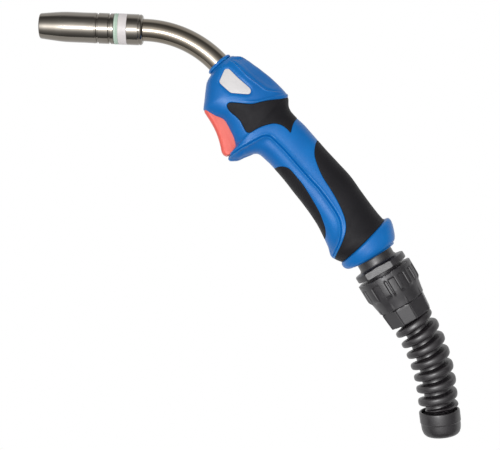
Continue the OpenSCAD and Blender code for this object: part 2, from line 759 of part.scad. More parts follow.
module ball_stem() {
    color(soft_black) at_ball() difference() {
        union() {
            intersection() {
                sphere(r = ball_r);
                translate([0, 0, -9.5]) cylinder(r = 2 * ball_r, h = 30);
            }
            cylinder(r = stem_r, h = 13.2);
            turned([[0, 12.4], [stem_r, 12.4], [stem_r + 0.4, 13.4], [stem_r + 1.2, 14.6], [stem_r + 3, 15.6],
                [flange_r - 0.6, flange_z], [flange_r, flange_z + 0.6], [flange_r, flange_z + flange_l - 0.6],
                [flange_r - 0.6, flange_z + flange_l], [0, flange_z + flange_l]]);
            translate([0, 0, flange_z]) cylinder(r = stem_r, h = stem_end_z - flange_z);
        }
        translate([0, 0, -20]) cylinder(r = cable_bore_r, h = 80);
        translate([0, 0, -10.5]) cylinder(r1 = cable_bore_r + 3.5, r2 = cable_bore_r, h = 6);
    }
}

// Inside the nut: thread on the stem, shoulder behind the guard's bead, cup round the guard's first turn
nut_core_l = 28;
nut_cup_l = 4;
stem_end_z = nut_z + nut_core_l - 4;
bead_l = 3;
bead_r = stem_r - 0.6;

// The nut's grip: slots of two widths round its drum, raised flats below
drum_l = 14.5;
module cable_nut() {
    color([0.20, 0.19, 0.19]) at_ball() translate([0, 0, nut_z]) difference() {
        union() {
            turned([[0, 0], [nut_r - 0.8, 0], [nut_r, 0.8], [nut_r, drum_l - 2], [nut_r - 2.6, drum_l + 2],
                [nut_r - 3.4, drum_l + 4], [nut_end_r + 1.1, nut_l - 6], [nut_end_r, nut_l - 0.6],
                [nut_end_r - 0.6, nut_l], [0, nut_l]]);
            intersection() {
                for (k = [0:5]) rotate([0, 0, 60 * k + 15]) translate([6, -4.6, drum_l + 1])
                    cube([nut_r - 8.2, 9.2, nut_l - drum_l - 7.8]);
                turned([[0, 0], [nut_r - 1.5, drum_l], [nut_end_r + 1.7, nut_l], [0, nut_l]]);
            }
        }
        translate([0, 0, -1]) cylinder(r = stem_r + running, h = nut_core_l + 1);
        translate([0, 0, nut_core_l - 1]) cylinder(r = guard_core_r + 0.5, h = nut_l);
        translate([0, 0, nut_l - nut_cup_l]) cylinder(r = guard_r + 0.3, h = nut_l);
        for (k = [0:nut_slots - 1]) rotate([0, 0, 360 * (k + 0.5) / nut_slots])
            translate([nut_r - 1.1, -(k % 4 == 0 ? 1.5 : 0.8), 1.8]) cube([4, k % 4 == 0 ? 3 : 1.6, drum_l]);
    }
}

// Guard: a tube on a bent axis whose outside carries one rib that winds round it

guard_lead = guard_z - stem_end_z - 0.2;
guard_tail = 7;
guard_sides = 12;
guard_step = rib_pitch / guard_sides;
guard_bore_rings = 16;

// Place of a point in the rib's turn, its steps from the rib's middle, and the rib's height there as a share
rib_edge = 3;
rib_start = 2;
function rib_phase(i, j) = (i + guard_sides - rib_start + (guard_sides - 1) * j) % guard_sides;
function rib_steps(i, j) = let (phase = rib_phase(i, j)) min(phase, guard_sides - phase);
function rib_share(steps) = steps < rib_edge ? 1 : steps == rib_edge ? 0.9 : steps == rib_edge + 1 ? 0.4 : 0;

// Radius over the rib: it swells below the nut and then gets smaller to the end
guard_swell_l = 6;
function rib_r(s) = s < 0 ? guard_r : s < guard_swell_l
    ? guard_r + (guard_wide_r - guard_r) * s / guard_swell_l
    : guard_wide_r + (guard_end_r - guard_wide_r) * (s - guard_swell_l) / (guard_l - guard_swell_l);

// Centre and side direction of the guard at a distance from its start
function guard_frame(s) = let (start = min(s, guard_start_l), t = min(s - start, guard_bend_l),
    bend = t / guard_bend_r * 180 / PI, rest = s - start - t)
    [[guard_bend_r * (1 - cos(bend)) + rest * sin(bend), 0,
        start + guard_bend_r * sin(bend) + rest * cos(bend)],
        [cos(bend), 0, -sin(bend)]];
function guard_ring(s, radii) = let (f = guard_frame(s))
    [for (j = [0:guard_sides - 1]) let (a = 360 * j / guard_sides)
        f[0] + radii[j] * (cos(a) * f[1] + sin(a) * [0, 1, 0])];

module kink_guard() {
    count = floor((guard_lead + guard_l + guard_tail) / guard_step);
    loops = [for (i = [0:count]) let (s = -guard_lead + i * guard_step,
        fade = min(max((s + 3) / 2, 0), 1) * min(max((guard_l - s) / 3, 0), 1),
        core = s + guard_lead <= bead_l ? bead_r : guard_core_r)
        guard_ring(s, [for (j = [0:guard_sides - 1])
            let (steps = rib_steps(i, j)) core + (rib_r(s) - guard_core_r) * rib_share(steps) * fade])];
    least = min([for (i = [0:count - guard_sides], j = [0:guard_sides - 1])
        if (rib_phase(i, j) == rib_edge) norm(loops[i][j] - loops[i + guard_sides - 2 * rib_edge][j])]);
    full = count * guard_step;
    bore = [for (j = [0:guard_sides - 1]) guard_bore_r];
    inner = [for (i = [guard_bore_rings:-1:0])
        each guard_ring(-guard_lead + full * i / guard_bore_rings, bore)];
    echo(str("least gap between the turns of the guard's rib: ", least, " mm"));
    color([0.15, 0.14, 0.15]) at_guard() polyhedron(concat([for (loop = loops) each loop], inner),
        chain_faces(count + 1 + guard_bore_rings + 1, guard_sides));
}

module guard_end_collar() {
    color([0.2, 0.19, 0.2]) at_guard_end() difference() {
        turned([[0, 0], [end_collar_r - 1.6, 0], [end_collar_r - 0.2, 0.5], [end_collar_r, 2],
            [end_collar_r - 0.4, end_collar_l * 0.55], [end_collar_r - 1.2, end_collar_l * 0.8],
            [end_collar_r - 2.4, end_collar_l * 0.94], [end_collar_r - 4, end_collar_l], [0, end_collar_l]]);
        translate([0, 0, -1]) cylinder(r = end_collar_r - 1.8, h = 5);
        translate([0, 0, -1]) cylinder(r = guard_core_r + seat_gap, h = guard_tail + 1 + 0.2);
        translate([0, 0, -1]) cylinder(r = cable_bore_r, h = end_collar_l + 2);
    }
}

gas_nozzle();
nozzle_spring();
contact_tip();
tip_holder();
seal_ring();
insulator_ring();
neck_collar();
neck_tube();
neck_insulation();
neck_conductor();
neck_block();
clamp_screw();
nose_ring();
shell_left();
shell_right();
saddle_pad_left();
saddle_pad_right();
back_pad_left();
back_pad_right();
palm_pad_left();
palm_pad_right();
label_plate_left();
label_plate_right();
rear_collar();
shell_screws();
trigger();
trigger_pin();
trigger_spring();
switch_body();
switch_button();
switch_terminals();
ball_seat();
ball_stem();
cable_nut();
kink_guard();
guard_end_collar();
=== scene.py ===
# %% [markdown]
# A welding torch in its real size
#
# A welder holds this torch by its blue handle, presses the red trigger, and wire and gas come out of the
# bright nozzle at the far end of the bent neck. The construction is already done: it is loaded here as a
# frame that nothing in this file moves. What is left is the outside as one sees and feels it: the curves of
# the handle, the soft pads, the polished metal and the ribbed rubber at the cable end.
# The frame could be shaded as it is, but its faces are plain. So the visible pieces are drawn again here,
# finer, in the same places, and each one takes the place of its plain twin.

# %% Load the frame
import math

import bmesh
import bpy
import numpy as np
from mathutils import Matrix, Vector, kdtree
from mathutils.geometry import delaunay_2d_cdt


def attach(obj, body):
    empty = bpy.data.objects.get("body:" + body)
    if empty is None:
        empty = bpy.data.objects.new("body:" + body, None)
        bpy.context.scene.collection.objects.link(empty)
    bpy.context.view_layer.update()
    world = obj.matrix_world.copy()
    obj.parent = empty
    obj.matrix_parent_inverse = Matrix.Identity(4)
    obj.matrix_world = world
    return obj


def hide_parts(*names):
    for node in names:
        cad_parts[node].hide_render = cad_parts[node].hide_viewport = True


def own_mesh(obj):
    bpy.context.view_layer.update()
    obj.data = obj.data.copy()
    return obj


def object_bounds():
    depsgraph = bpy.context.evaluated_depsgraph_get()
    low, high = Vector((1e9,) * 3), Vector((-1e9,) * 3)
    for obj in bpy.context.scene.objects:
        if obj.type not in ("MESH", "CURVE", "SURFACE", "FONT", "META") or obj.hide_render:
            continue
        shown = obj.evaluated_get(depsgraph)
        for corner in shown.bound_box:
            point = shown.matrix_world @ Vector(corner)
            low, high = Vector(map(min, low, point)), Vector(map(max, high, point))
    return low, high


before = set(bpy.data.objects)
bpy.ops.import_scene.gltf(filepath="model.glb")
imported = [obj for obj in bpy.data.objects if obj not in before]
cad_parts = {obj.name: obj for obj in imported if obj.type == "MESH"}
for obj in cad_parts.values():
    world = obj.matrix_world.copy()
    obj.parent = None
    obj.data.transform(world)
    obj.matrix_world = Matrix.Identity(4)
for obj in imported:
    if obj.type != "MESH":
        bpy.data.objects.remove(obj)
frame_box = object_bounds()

scene = bpy.context.scene
MM = 0.001

# %% [markdown]
# Places along the torch
#
# A neck that bends, a ball joint that leans and a guard that curves all have their own directions. One could
# rotate every piece by hand. It is safer to write each place once, as a matrix, and to draw every round piece
# upright and at zero, where its sizes are easy to read. All lengths here are in millimetres.

# %% Matrices for the neck, the trigger, the ball joint and the guard
def shift(x=0.0, y=0.0, z=0.0):
    return Matrix.Translation((x, y, z))


def turn(degrees, axis):
    return Matrix.Rotation(math.radians(degrees), 4, axis)


NECK_R, NECK_BEND_R, NOZZLE_RISE, NECK_SLOPE = 8.1, 77.4, 2.3, 45.0
NECK_ROOT = (-80.1, 93.4)
BEND_X = NECK_ROOT[0] - NECK_BEND_R * math.cos(math.radians(NECK_SLOPE))
BEND_Z = NECK_ROOT[1] - NECK_BEND_R * math.sin(math.radians(NECK_SLOPE))
BALL = (30.3, -41.2)
TRIGGER_PIVOT, TRIGGER_SLOPE = (-82.1, 56.6), 67.0
GUARD_Z, GUARD_L, GUARD_START_L, GUARD_BEND_L = 61.8, 71.5, 4.0, 52.0
GUARD_BEND, GUARD_ROLL = 23.9, 10.0
GUARD_BEND_R = GUARD_BEND_L / math.radians(GUARD_BEND)


def at_bend(degrees):
    return shift(BEND_X, 0, BEND_Z) @ turn(-degrees, "Y") @ shift(NECK_BEND_R)


AT_FRONT = at_bend(90 - NOZZLE_RISE)
AT_ROOT = at_bend(NECK_SLOPE)
AT_TRIGGER = shift(TRIGGER_PIVOT[0], 0, TRIGGER_PIVOT[1]) @ turn(TRIGGER_SLOPE, "Y") @ turn(90, "X")
AT_BALL = shift(BALL[0], 0, BALL[1]) @ turn(149, "Y")
AT_GUARD = AT_BALL @ turn(GUARD_ROLL, "Z") @ shift(z=GUARD_Z)
AT_GUARD_END = (AT_GUARD @ shift(GUARD_BEND_R, 0, GUARD_START_L) @ turn(GUARD_BEND, "Y")
                @ shift(-GUARD_BEND_R, 0, GUARD_L - GUARD_START_L - GUARD_BEND_L))


def placed(matrix, points):
    m = np.array(matrix)
    return np.asarray(points, float) @ m[:3, :3].T + m[:3, 3]


print("nozzle end at", [round(v, 1) for v in (AT_FRONT @ Vector((0, 0, 76.6)))])

# %% [markdown]
# One way to put a piece in
#
# Every piece needs the same things: a mesh in metres, smooth shading that stays crisp on real edges, a
# finish, the body that it moves with, and the plain frame node that it stands for. Doing this in one function
# keeps each later cell about shape alone.

# %% A function that adds a piece
FINISH = {}  # each finish by its name, filled in below


def add_piece(name, points, faces, body, slot, stands_for=(), crease=38.0):
    mesh = bpy.data.meshes.new(name)
    mesh.from_pydata((np.asarray(points) * MM).tolist(), [], faces)
    mesh.validate()
    mesh.polygons.foreach_set("use_smooth", [True] * len(mesh.polygons))
    mesh.set_sharp_from_angle(angle=math.radians(crease))
    mesh.materials.append(FINISH[slot])
    piece = bpy.data.objects.new(name, mesh)
    scene.collection.objects.link(piece)
    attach(piece, body)
    if stands_for:
        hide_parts(*stands_for)
    print(f"{name}: {len(mesh.vertices)} points, {len(mesh.polygons)} faces")
    return piece


def grid_faces(rows, columns, close_rows=False, close_columns=True):
    faces = []
    for i in range(rows if close_rows else rows - 1):
        for j in range(columns if close_columns else columns - 1):
            a, b = i * columns + j, i * columns + (j + 1) % columns
            shift_row = columns if i < rows - 1 else -i * columns
            faces.append((a, b, b + shift_row, a + shift_row))
    return faces


# %% [markdown]
# Turned pieces
#
# The nozzle, the rings, the collar, the flange and the end collar are all round. On a lathe the maker cuts a
# profile; here the same profile, written as radius and height, is spun round its axis. No machinist leaves a
# knife edge, so a helper first rounds each corner a little. Those small radii are what catches the light.

# %% Rounded profiles and the lathe
def softened(profile, radius, closed=True):
    points = [Vector(p) for p in profile]
    out = []
    for i, p in enumerate(points):
        if not closed and i in (0, len(points) - 1):
            out.append(tuple(p))
            continue
        before, after = points[i - 1] - p, points[(i + 1) % len(points)] - p
        bend = math.pi - before.angle(after, math.pi)
        if bend < 0.2:
            out.append(tuple(p))
            continue
        start = p + before.normalized() * min(radius, 0.45 * before.length)
        end = p + after.normalized() * min(radius, 0.45 * after.length)
        for t in (0.0, 0.3, 0.7, 1.0):
            out.append(tuple(start * (1 - t) ** 2 + p * 2 * t * (1 - t) + end * t * t))
    return out


def round_angles(count):
    return np.arange(count) * 2 * math.pi / count


def spun(profile, segments=96):
    angles = round_angles(segments)
    points = [(r * math.cos(a), r * math.sin(a), z) for r, z in profile for a in angles]
    return points, grid_faces(len(profile), segments, close_rows=True)


def add_turned(name, profile, matrix, body, slot, stands_for=(), radius=0.25, segments=96):
    points, faces = spun(softened(profile, radius), segments)
    return add_piece(name, placed(matrix, points), faces, body, slot, stands_for)


print("a corner of 0.25 mm becomes", len(softened([(0, 0), (1, 0), (1, 1)], 0.25)), "points on three corners")

# %% [markdown]
# Tubes and springs
#
# The neck is a tube bent on a mandrel and the springs are wound wire. Both are a circle carried along a path.
# The frame of the circle is passed from point to point without twist, so the wall never pinches.

# %% A function that carries a circle along a path
def swept(path, radius, sides, bore=None):
    path = np.asarray(path, float)
    tangents = np.gradient(path, axis=0)
    tangents /= np.linalg.norm(tangents, axis=1)[:, None]
    side = np.cross(tangents[0], (0.0, 1.0, 0.0))
    if np.linalg.norm(side) < 0.1:
        side = np.cross(tangents[0], (1.0, 0.0, 0.0))
    angles = round_angles(sides)
    rings = []
    for centre, along in zip(path, tangents):
        side = side - along * side.dot(along)
        side /= np.linalg.norm(side)
        other = np.cross(along, side)
        rings.append((centre, side.copy(), other))

    def ring(k, r):
        centre, side, other = rings[k]
        return centre + r * (np.cos(angles)[:, None] * side + np.sin(angles)[:, None] * other)

    count = len(path)
    if bore is None:
        points = np.vstack([ring(k, radius) for k in range(count)])
        ends = [tuple(range(sides))[::-1], tuple(range((count - 1) * sides, count * sides))]
        return points, grid_faces(count, sides) + ends
    order = [(k, radius) for k in range(count)] + [(k, bore) for k in range(count - 1, -1, -1)]
    return np.vstack([ring(k, r) for k, r in order]), grid_faces(2 * count, sides, close_rows=True)


def coil_path(radius, wire, length, turns, steps=28):
    t = np.arange(turns * steps + 1) / steps
    rise = (length - 2 * wire) / turns
    return np.stack([radius * np.cos(t * 2 * math.pi), radius * np.sin(t * 2 * math.pi), wire + rise * t], 1)


print("a spring of 5 turns has", len(coil_path(2.2, 0.35, 6, 5)), "points along its wire")

# %% [markdown]
# Finishes
#
# Moulded plastic, rubber and metal differ less in colour than in how they scatter light. Each finish here is
# the standard shader with the same three layers on top: slow patches that shift the colour a little, as
# moulding and handling do; a fine grain as bump, from the mould's texture or the tool; and wear, a paler tone
# on the outer edges where a glove rubs. Everything is worked out from the place in space, so no picture is
# needed and the scale is the real one: a noise scale of 1000 gives grains of about a millimetre.

# %% A function that mixes a finish
def srgb(r, g, b):
    def linear(v):
        v /= 255
        return v / 12.92 if v <= 0.04045 else ((v + 0.055) / 1.055) ** 2.4

    return (linear(r), linear(g), linear(b), 1.0)


WORN_FROM, WORN_OVER = 0.52, 0.07  # how sharp an edge is where wear begins, and how soon it is full


def mixed_finish(name, colour, shade, roughness, swing=0.06, metallic=0.0, patches=45.0, grain=1800.0,
                 depth=0.00004, wear=None, stretch=None, **shader_values):
    finish = bpy.data.materials.new(name)
    finish.use_nodes = True
    nodes, links = finish.node_tree.nodes, finish.node_tree.links
    shader = nodes["Principled BSDF"]
    shader.inputs["Metallic"].default_value = metallic
    for socket, value in shader_values.items():
        shader.inputs[socket.replace("_", " ")].default_value = value
    place = nodes.new("ShaderNodeTexCoord").outputs["Object"]

    def noise(scale, detail, source):
        node = nodes.new("ShaderNodeTexNoise")
        node.inputs["Scale"].default_value = scale
        node.inputs["Detail"].default_value = detail
        links.new(source, node.inputs["Vector"])
        return node.outputs["Fac"]

    def ranged(source, low, high, to_low, to_high):
        node = nodes.new("ShaderNodeMapRange")
        for key, value in zip(("From Min", "From Max", "To Min", "To Max"), (low, high, to_low, to_high)):
            node.inputs[key].default_value = value
        links.new(source, node.inputs["Value"])
        return node.outputs["Result"]

    def blended(amount, first, second):
        node = nodes.new("ShaderNodeMix")
        node.data_type = "RGBA"
        links.new(amount, node.inputs["Factor"])
        for socket, value in ((node.inputs["A"], first), (node.inputs["B"], second)):
            if isinstance(value, tuple):
                socket.default_value = value
            else:
                links.new(value, socket)
        return node.outputs["Result"]

    slow = noise(patches, 4.0, place)
    tone = blended(ranged(slow, 0.3, 0.7, 0.0, 1.0), srgb(*colour), srgb(*shade))
    if wear is not None:
        edge = nodes.new("ShaderNodeNewGeometry").outputs["Pointiness"]
        rubbed = ranged(edge, WORN_FROM, WORN_FROM + WORN_OVER, 0.0, 0.6)
        tone = blended(rubbed, tone, srgb(*wear))
    links.new(tone, shader.inputs["Base Color"])
    links.new(ranged(noise(patches * 3, 3.0, place), 0.3, 0.7, roughness - swing, roughness + swing),
              shader.inputs["Roughness"])
    fine_place = place
    if stretch is not None:
        mapping = nodes.new("ShaderNodeMapping")
        mapping.vector_type = "TEXTURE"
        mapping.inputs["Rotation"].default_value = stretch[0]
        mapping.inputs["Scale"].default_value = stretch[1]
        links.new(place, mapping.inputs["Vector"])
        fine_place = mapping.outputs["Vector"]
    bump = nodes.new("ShaderNodeBump")
    bump.inputs["Distance"].default_value = depth
    bump.inputs["Strength"].default_value = 1.0
    links.new(noise(grain, 2.0, fine_place), bump.inputs["Height"])
    links.new(bump.outputs["Normal"], shader.inputs["Normal"])
    FINISH[name] = finish


print("white in numbers:", srgb(255, 255, 255)[:3])

# %% [markdown]
# The metals
#
# The nozzle is turned from copper alloy and nickel plated, so it is almost a mirror with faint tool lines
# that run round it. The neck is polished stainless tube. Copper, brass and springs sit inside and show when
# the nozzle is pulled off. Metals need no pigment: their colour is the colour of the reflection.

# %% Metal finishes
AROUND_NOZZLE = ((0.0, math.radians(-(90 - NOZZLE_RISE)), 0.0), (1.0, 1.0, 0.02))
# name, colour, shade, roughness, swing, metallic, patches, grain, depth
mixed_finish("nickel", (130, 125, 118), (122, 116, 108), 0.1, 0.02, 1.0, 70, 60, 0.000006, stretch=AROUND_NOZZLE)
mixed_finish("stainless", (132, 125, 115), (124, 116, 105), 0.1, 0.02, 1.0, 60, 900, 0.000003)
mixed_finish("spring_steel", (190, 188, 184), (165, 162, 158), 0.28, 0.05, 1.0)
mixed_finish("copper", (214, 138, 96), (190, 112, 74), 0.26, 0.06, 1.0, 120, 400, 0.00001, stretch=AROUND_NOZZLE)
mixed_finish("brass", (212, 178, 104), (186, 150, 84), 0.28, 0.06, 1.0, 120)
mixed_finish("black_steel", (70, 70, 72), (52, 52, 55), 0.38, 0.06, 1.0)
mixed_finish("zinc_steel", (196, 198, 200), (170, 172, 176), 0.3, 0.06, 1.0, 200)
print(len(FINISH), "metals")

# %% [markdown]
# Plastics and rubber
#
# The handle is glass-filled nylon with a satin, slightly grainy face that turns pale where it looks at the
# light. The pads are a soft rubber moulded over it, nearly black. Nut, stem and guard are black nylon and
# rubber with a coarser grain. Satin comes from a wide highlight, so these have a middle roughness and no mirror
# coat. The specular level says how strong the highlight is: low on the pads and the blue, and high on the nut
# and the guard, whose black would look flat without it.

# %% Plastic and rubber finishes
mixed_finish("blue_plastic", (0, 112, 190), (0, 100, 176), 0.36, 0.04, 0.0, 40, 2400, 0.00005,
             wear=(60, 150, 214), Specular_IOR_Level=0.28)
mixed_finish("grip_rubber", (30, 29, 32), (24, 23, 26), 0.58, 0.06, 0.0, 50, 2600, 0.00007,
             wear=(64, 61, 63), Specular_IOR_Level=0.14)
mixed_finish("plate_plastic", (222, 219, 219), (212, 209, 210), 0.4, 0.05, 0.0, 90, 3000, 0.00002)
mixed_finish("coral_plastic", (240, 106, 94), (232, 98, 87), 0.42, 0.04, 0.0, 60, 2400, 0.00004,
             wear=(250, 140, 128), Specular_IOR_Level=0.35)
mixed_finish("seal_rubber", (193, 214, 198), (180, 204, 187), 0.5, 0.06, 0.0, 120, 2000, 0.00003)
mixed_finish("white_plastic", (228, 222, 221), (218, 212, 212), 0.45, 0.05, 0.0, 120, 1500, 0.00005)
mixed_finish("insulation", (232, 226, 208), (220, 212, 192), 0.5, 0.05)
mixed_finish("hard_black", (38, 36, 39), (29, 27, 30), 0.4, 0.05, 0.0, 70, 1500, 0.00006,
             wear=(96, 92, 95), Specular_IOR_Level=0.7)
mixed_finish("guard_rubber", (36, 33, 36), (27, 24, 27), 0.38, 0.05, 0.0, 80, 1700, 0.00006,
             wear=(84, 79, 82), Specular_IOR_Level=0.7)
mixed_finish("seat_plastic", (60, 60, 62), (50, 50, 52), 0.5, 0.05)
mixed_finish("switch_plastic", (38, 38, 40), (30, 30, 32), 0.45, 0.05)
mixed_finish("button_plastic", (205, 44, 36), (190, 36, 30), 0.4, 0.05)
print(len(FINISH), "finishes in all")

# %% [markdown]
# The neck and what sits on its end
#
# From the handle outwards: a polished tube, a plated collar with a rounded back, a white insulating ring that
# keeps the current off the nozzle, a mint green seal, and the nozzle. The nozzle is one sleeve: two turned
# grooves at the back for grip with fine rings between them, a straight body and a taper that swells out of it
# without a corner.

# %% Neck tube
def neck_path():
    front = [placed(AT_FRONT, [(0, 0, z)])[0] for z in (13.1, 9.0, 4.0)]
    bend = [placed(at_bend(a), [(0, 0, 0)])[0] for a in np.linspace(90 - NOZZLE_RISE, NECK_SLOPE, 56)]
    tail = [placed(AT_ROOT, [(0, 0, z)])[0] for z in (-6.0, -14.0, -24.0, -36.0)]
    return front + bend + tail


points, faces = swept(neck_path(), NECK_R, 96, bore=6.7)
add_piece("neck_tube_skin", points, faces, "handle", "stainless", ["neck_tube"])

# %% Collar, insulating ring and seal
add_turned("neck_collar_turned", [
    (8.2, 1.5), (9.3, 1.5), (10.3, 1.95), (10.95, 2.8), (11.15, 3.7), (10.85, 4.0), (10.85, 4.5), (11.2, 4.8),
    (11.2, 12.9), (11.0, 13.1), (8.2, 13.1)], AT_FRONT, "handle", "nickel", ["neck_collar"], 0.12)
add_turned("insulator_moulded", [
    (5.1, 13.1), (11.1, 13.1), (11.2, 13.3), (11.2, 19.0), (11.1, 19.3), (8.5, 19.3), (8.5, 23.3), (7.6, 23.3),
    (7.6, 34.8), (7.2, 35.3), (6.6, 35.3), (6.6, 26.6), (5.1, 26.6)],
    AT_FRONT, "handle", "white_plastic", ["insulator_ring"], 0.2)
add_turned("seal_moulded", [
    (8.55, 19.35), (10.9, 19.35), (11.2, 19.6), (11.2, 20.1), (10.75, 20.4), (11.2, 20.75), (11.2, 21.4),
    (11.2, 22.2), (10.3, 22.35), (10.3, 23.25), (8.55, 23.25)],
    AT_FRONT, "handle", "seal_rubber", ["seal_ring"], 0.2)

# %% Nozzle, contact tip and tip holder
NOZZLE_Z = 23.3
NOZZLE_PROFILE = [
    (9.6, 0.05), (10.4, 0.05), (10.4, -0.85), (10.85, -0.85), (11.1, -0.65), (11.1, 1.7), (10.3, 2.0),
    (10.3, 2.8), (11.12, 3.1)]
TOOL_LINE_STEP = 0.36
for ring in np.arange(3.3, 10.2, TOOL_LINE_STEP):
    NOZZLE_PROFILE += [(11.12, ring), (11.1, ring + 0.14), (11.1, ring + 0.2)]
NOZZLE_PROFILE += [
    (11.12, 10.3), (10.3, 10.6), (10.3, 11.5), (10.9, 11.8), (10.92, 12.5), (11.05, 12.9), (11.08, 13.6),
    (11.02, 14.1), (10.93, 21.0), (10.96, 26.8), (10.96, 31.0), (10.91, 34.4), (10.74, 38.0), (10.4, 41.6),
    (10.0, 45.3),
    (9.6, 49.0), (9.25, 52.2), (9.1, 52.9), (8.8, 53.3), (7.95, 53.3), (7.6, 52.8), (7.6, 37.4), (9.68, 30.4),
    (9.6, 19.0)]
add_turned("gas_nozzle_plated", [(r, z + NOZZLE_Z) for r, z in NOZZLE_PROFILE], AT_FRONT,
           "nozzle", "nickel", ["gas_nozzle"], 0.1, 128)
TIP_Z = 44.9
add_turned("contact_tip_turned", [
    (1.2, 0.0), (2.8, 0.0), (3.0, 0.4), (3.0, 8.0), (4.0, 8.0), (4.0, 23.4), (2.7, 27.4), (2.1, 28.0),
    (0.75, 28.0), (0.6, 27.8), (0.6, 9.0), (1.2, 9.0)],
    AT_FRONT @ shift(z=TIP_Z), "handle", "copper", ["contact_tip"], 0.12, 64)

# %% [markdown]
# The springs
#
# A small spring in the nozzle grips it on the neck, and a return spring pushes the trigger out. They are wound
# from wire, so each one is a wire carried round a helix. The return spring shortens as the trigger is pressed,
# but here it is drawn at one length, with a mesh of its own.

# %% Nozzle spring and trigger spring
points, faces = swept(coil_path(8.9, 0.4, 8.5, 5, 48), 0.4, 10)
add_piece("nozzle_spring_wound", placed(AT_FRONT @ shift(z=NOZZLE_Z + 1), points), faces,
          "handle", "spring_steel", ["nozzle_spring"])
TRIGGER_BACK, SPRING_REACH, SPRING_L = 7.0, 7.2, 6.0
AT_SPRING = AT_TRIGGER @ shift(SPRING_REACH, TRIGGER_BACK + 0.1) @ turn(-90, "X")
points, faces = swept(coil_path(2.2, 0.35, SPRING_L, 5), 0.35, 10)
return_spring = add_piece("trigger_spring_wound", placed(AT_SPRING, points), faces,
                          "handle", "spring_steel", ["trigger_spring"])
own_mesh(return_spring)

# %% [markdown]
# The handle as a surface
#
# The handle is two moulded halves that meet in the plane of the neck. Each cross section is a rounded
# rectangle, a superellipse, that runs from the belly to the back, and 29 of them give the whole grip. Sculpting
# would give the same look but no exact fit. Here the sections are joined by a smooth curve instead, and the
# result is a map: give it a distance along the handle and a distance round it, and it answers with a point.
# Everything on the handle, from the pads to the name plate, is then drawn on this map.

# %% The sections and the curve through them
SECTIONS = np.array([
    # belly x, z, back x, z, half width, squareness
    (-84.0, 82.5, -67.2, 96.7, 10.6, 2.1), (-85.8, 79.9, -62.8, 96.5, 12.8, 2.3),
    (-87.2, 76.6, -57.7, 94.2, 14.6, 2.4), (-88.1, 70.1, -52.6, 90.4, 16.0, 2.5),
    (-88.8, 63.5, -48.2, 87.2, 16.8, 2.6), (-89.4, 57.7, -44.5, 84.3, 17.2, 2.6),
    (-82.5, 52.2, -40.9, 81.4, 17.5, 2.6), (-75.9, 49.3, -37.2, 78.0, 17.6, 2.6),
    (-71.2, 42.0, -33.6, 74.5, 17.6, 2.6), (-68.3, 35.0, -30.7, 71.5, 17.5, 2.5),
    (-67.2, 29.9, -28.5, 68.6, 17.4, 2.5), (-68.8, 26.9, -27.9, 67.0, 17.3, 2.5),
    (-71.0, 23.9, -27.5, 65.7, 17.2, 2.4), (-71.3, 21.7, -27.4, 64.5, 17.1, 2.4),
    (-69.6, 20.2, -27.4, 63.4, 17.0, 2.4), (-65.0, 20.4, -27.4, 62.0, 17.0, 2.4),
    (-58.9, 23.0, -27.2, 60.0, 17.0, 2.4), (-50.4, 25.5, -25.9, 56.9, 17.0, 2.4),
    (-43.1, 20.4, -21.2, 51.5, 17.0, 2.4), (-36.5, 13.5, -16.1, 46.7, 17.0, 2.4),
    (-29.9, 5.8, -8.0, 37.6, 17.0, 2.4), (-23.4, -2.6, -0.7, 29.2, 17.1, 2.4),
    (-16.8, -10.9, 8.8, 19.0, 17.3, 2.4), (-10.9, -19.0, 17.5, 9.5, 17.6, 2.4),
    (-5.8, -27.0, 25.6, -1.8, 18.1, 2.3), (-1.8, -35.0, 32.9, -11.7, 18.8, 2.2),
    (1.5, -42.3, 38.7, -19.0, 19.8, 2.2), (4.0, -49.6, 41.6, -21.9, 20.6, 2.1),
    (11.3, -53.3, 42.4, -21.9, 20.8, 2.1)])


def hermite(p, q, m, n, t):
    """From p with slope m to q with slope n."""
    return ((2 * t**3 - 3 * t**2 + 1) * p + (t**3 - 2 * t**2 + t) * m
            + (3 * t**2 - 2 * t**3) * q + (t**3 - t**2) * n)


def smooth_rows(rows, s):
    """Rows at fractional places s, on a curve that never swings past its own points."""
    steps = np.diff(rows, axis=0)
    slopes = np.zeros_like(rows)
    a, b = steps[:-1], steps[1:]
    same = a * b > 0
    with np.errstate(divide="ignore", invalid="ignore"):
        slopes[1:-1] = np.where(same, 2 * a * b / (a + b), 0.0)
    slopes[0], slopes[-1] = steps[0], steps[-1]
    k = np.clip(np.floor(s).astype(int), 0, len(rows) - 2)
    t = (s - k)[:, None]
    return hermite(rows[k], rows[k + 1], slopes[k], slopes[k + 1], t)


def section_points(rows, angles, inset=0.0):
    """Points of the left side at angles from the belly, 0, to the back, pi."""
    middle = (rows[:, 0:2] + rows[:, 2:4]) / 2
    run = rows[:, 2:4] - rows[:, 0:2]
    half = np.linalg.norm(run, axis=1) / 2
    n = rows[:, 5]
    c, s = np.cos(angles), np.sin(angles)
    reach = (np.abs(c) ** n + np.abs(s) ** n) ** (-1 / n)
    along = -(half - inset) * reach * c / (2 * half)
    return np.stack([middle[:, 0] + run[:, 0] * along, -(rows[:, 4] - inset) * reach * s,
                     middle[:, 1] + run[:, 1] * along], 1)


GIRTH_R = 19.0
GIRTH = GIRTH_R * math.pi
NOSE = 3.0
fine_s = np.linspace(0, len(SECTIONS) - 1, 1121)
fine_rows = smooth_rows(SECTIONS, fine_s)
paths = [fine_rows[:, 0:2], fine_rows[:, 2:4], (fine_rows[:, 0:2] + fine_rows[:, 2:4]) / 2]
fine_steps = np.mean([np.linalg.norm(np.diff(p, axis=0), axis=1) for p in paths], 0)
fine_u = np.concatenate([[0], np.cumsum(fine_steps)])
LENGTH = fine_u[-1]
print("handle surface:", round(LENGTH, 1), "mm along,", round(GIRTH, 1), "mm round each half")

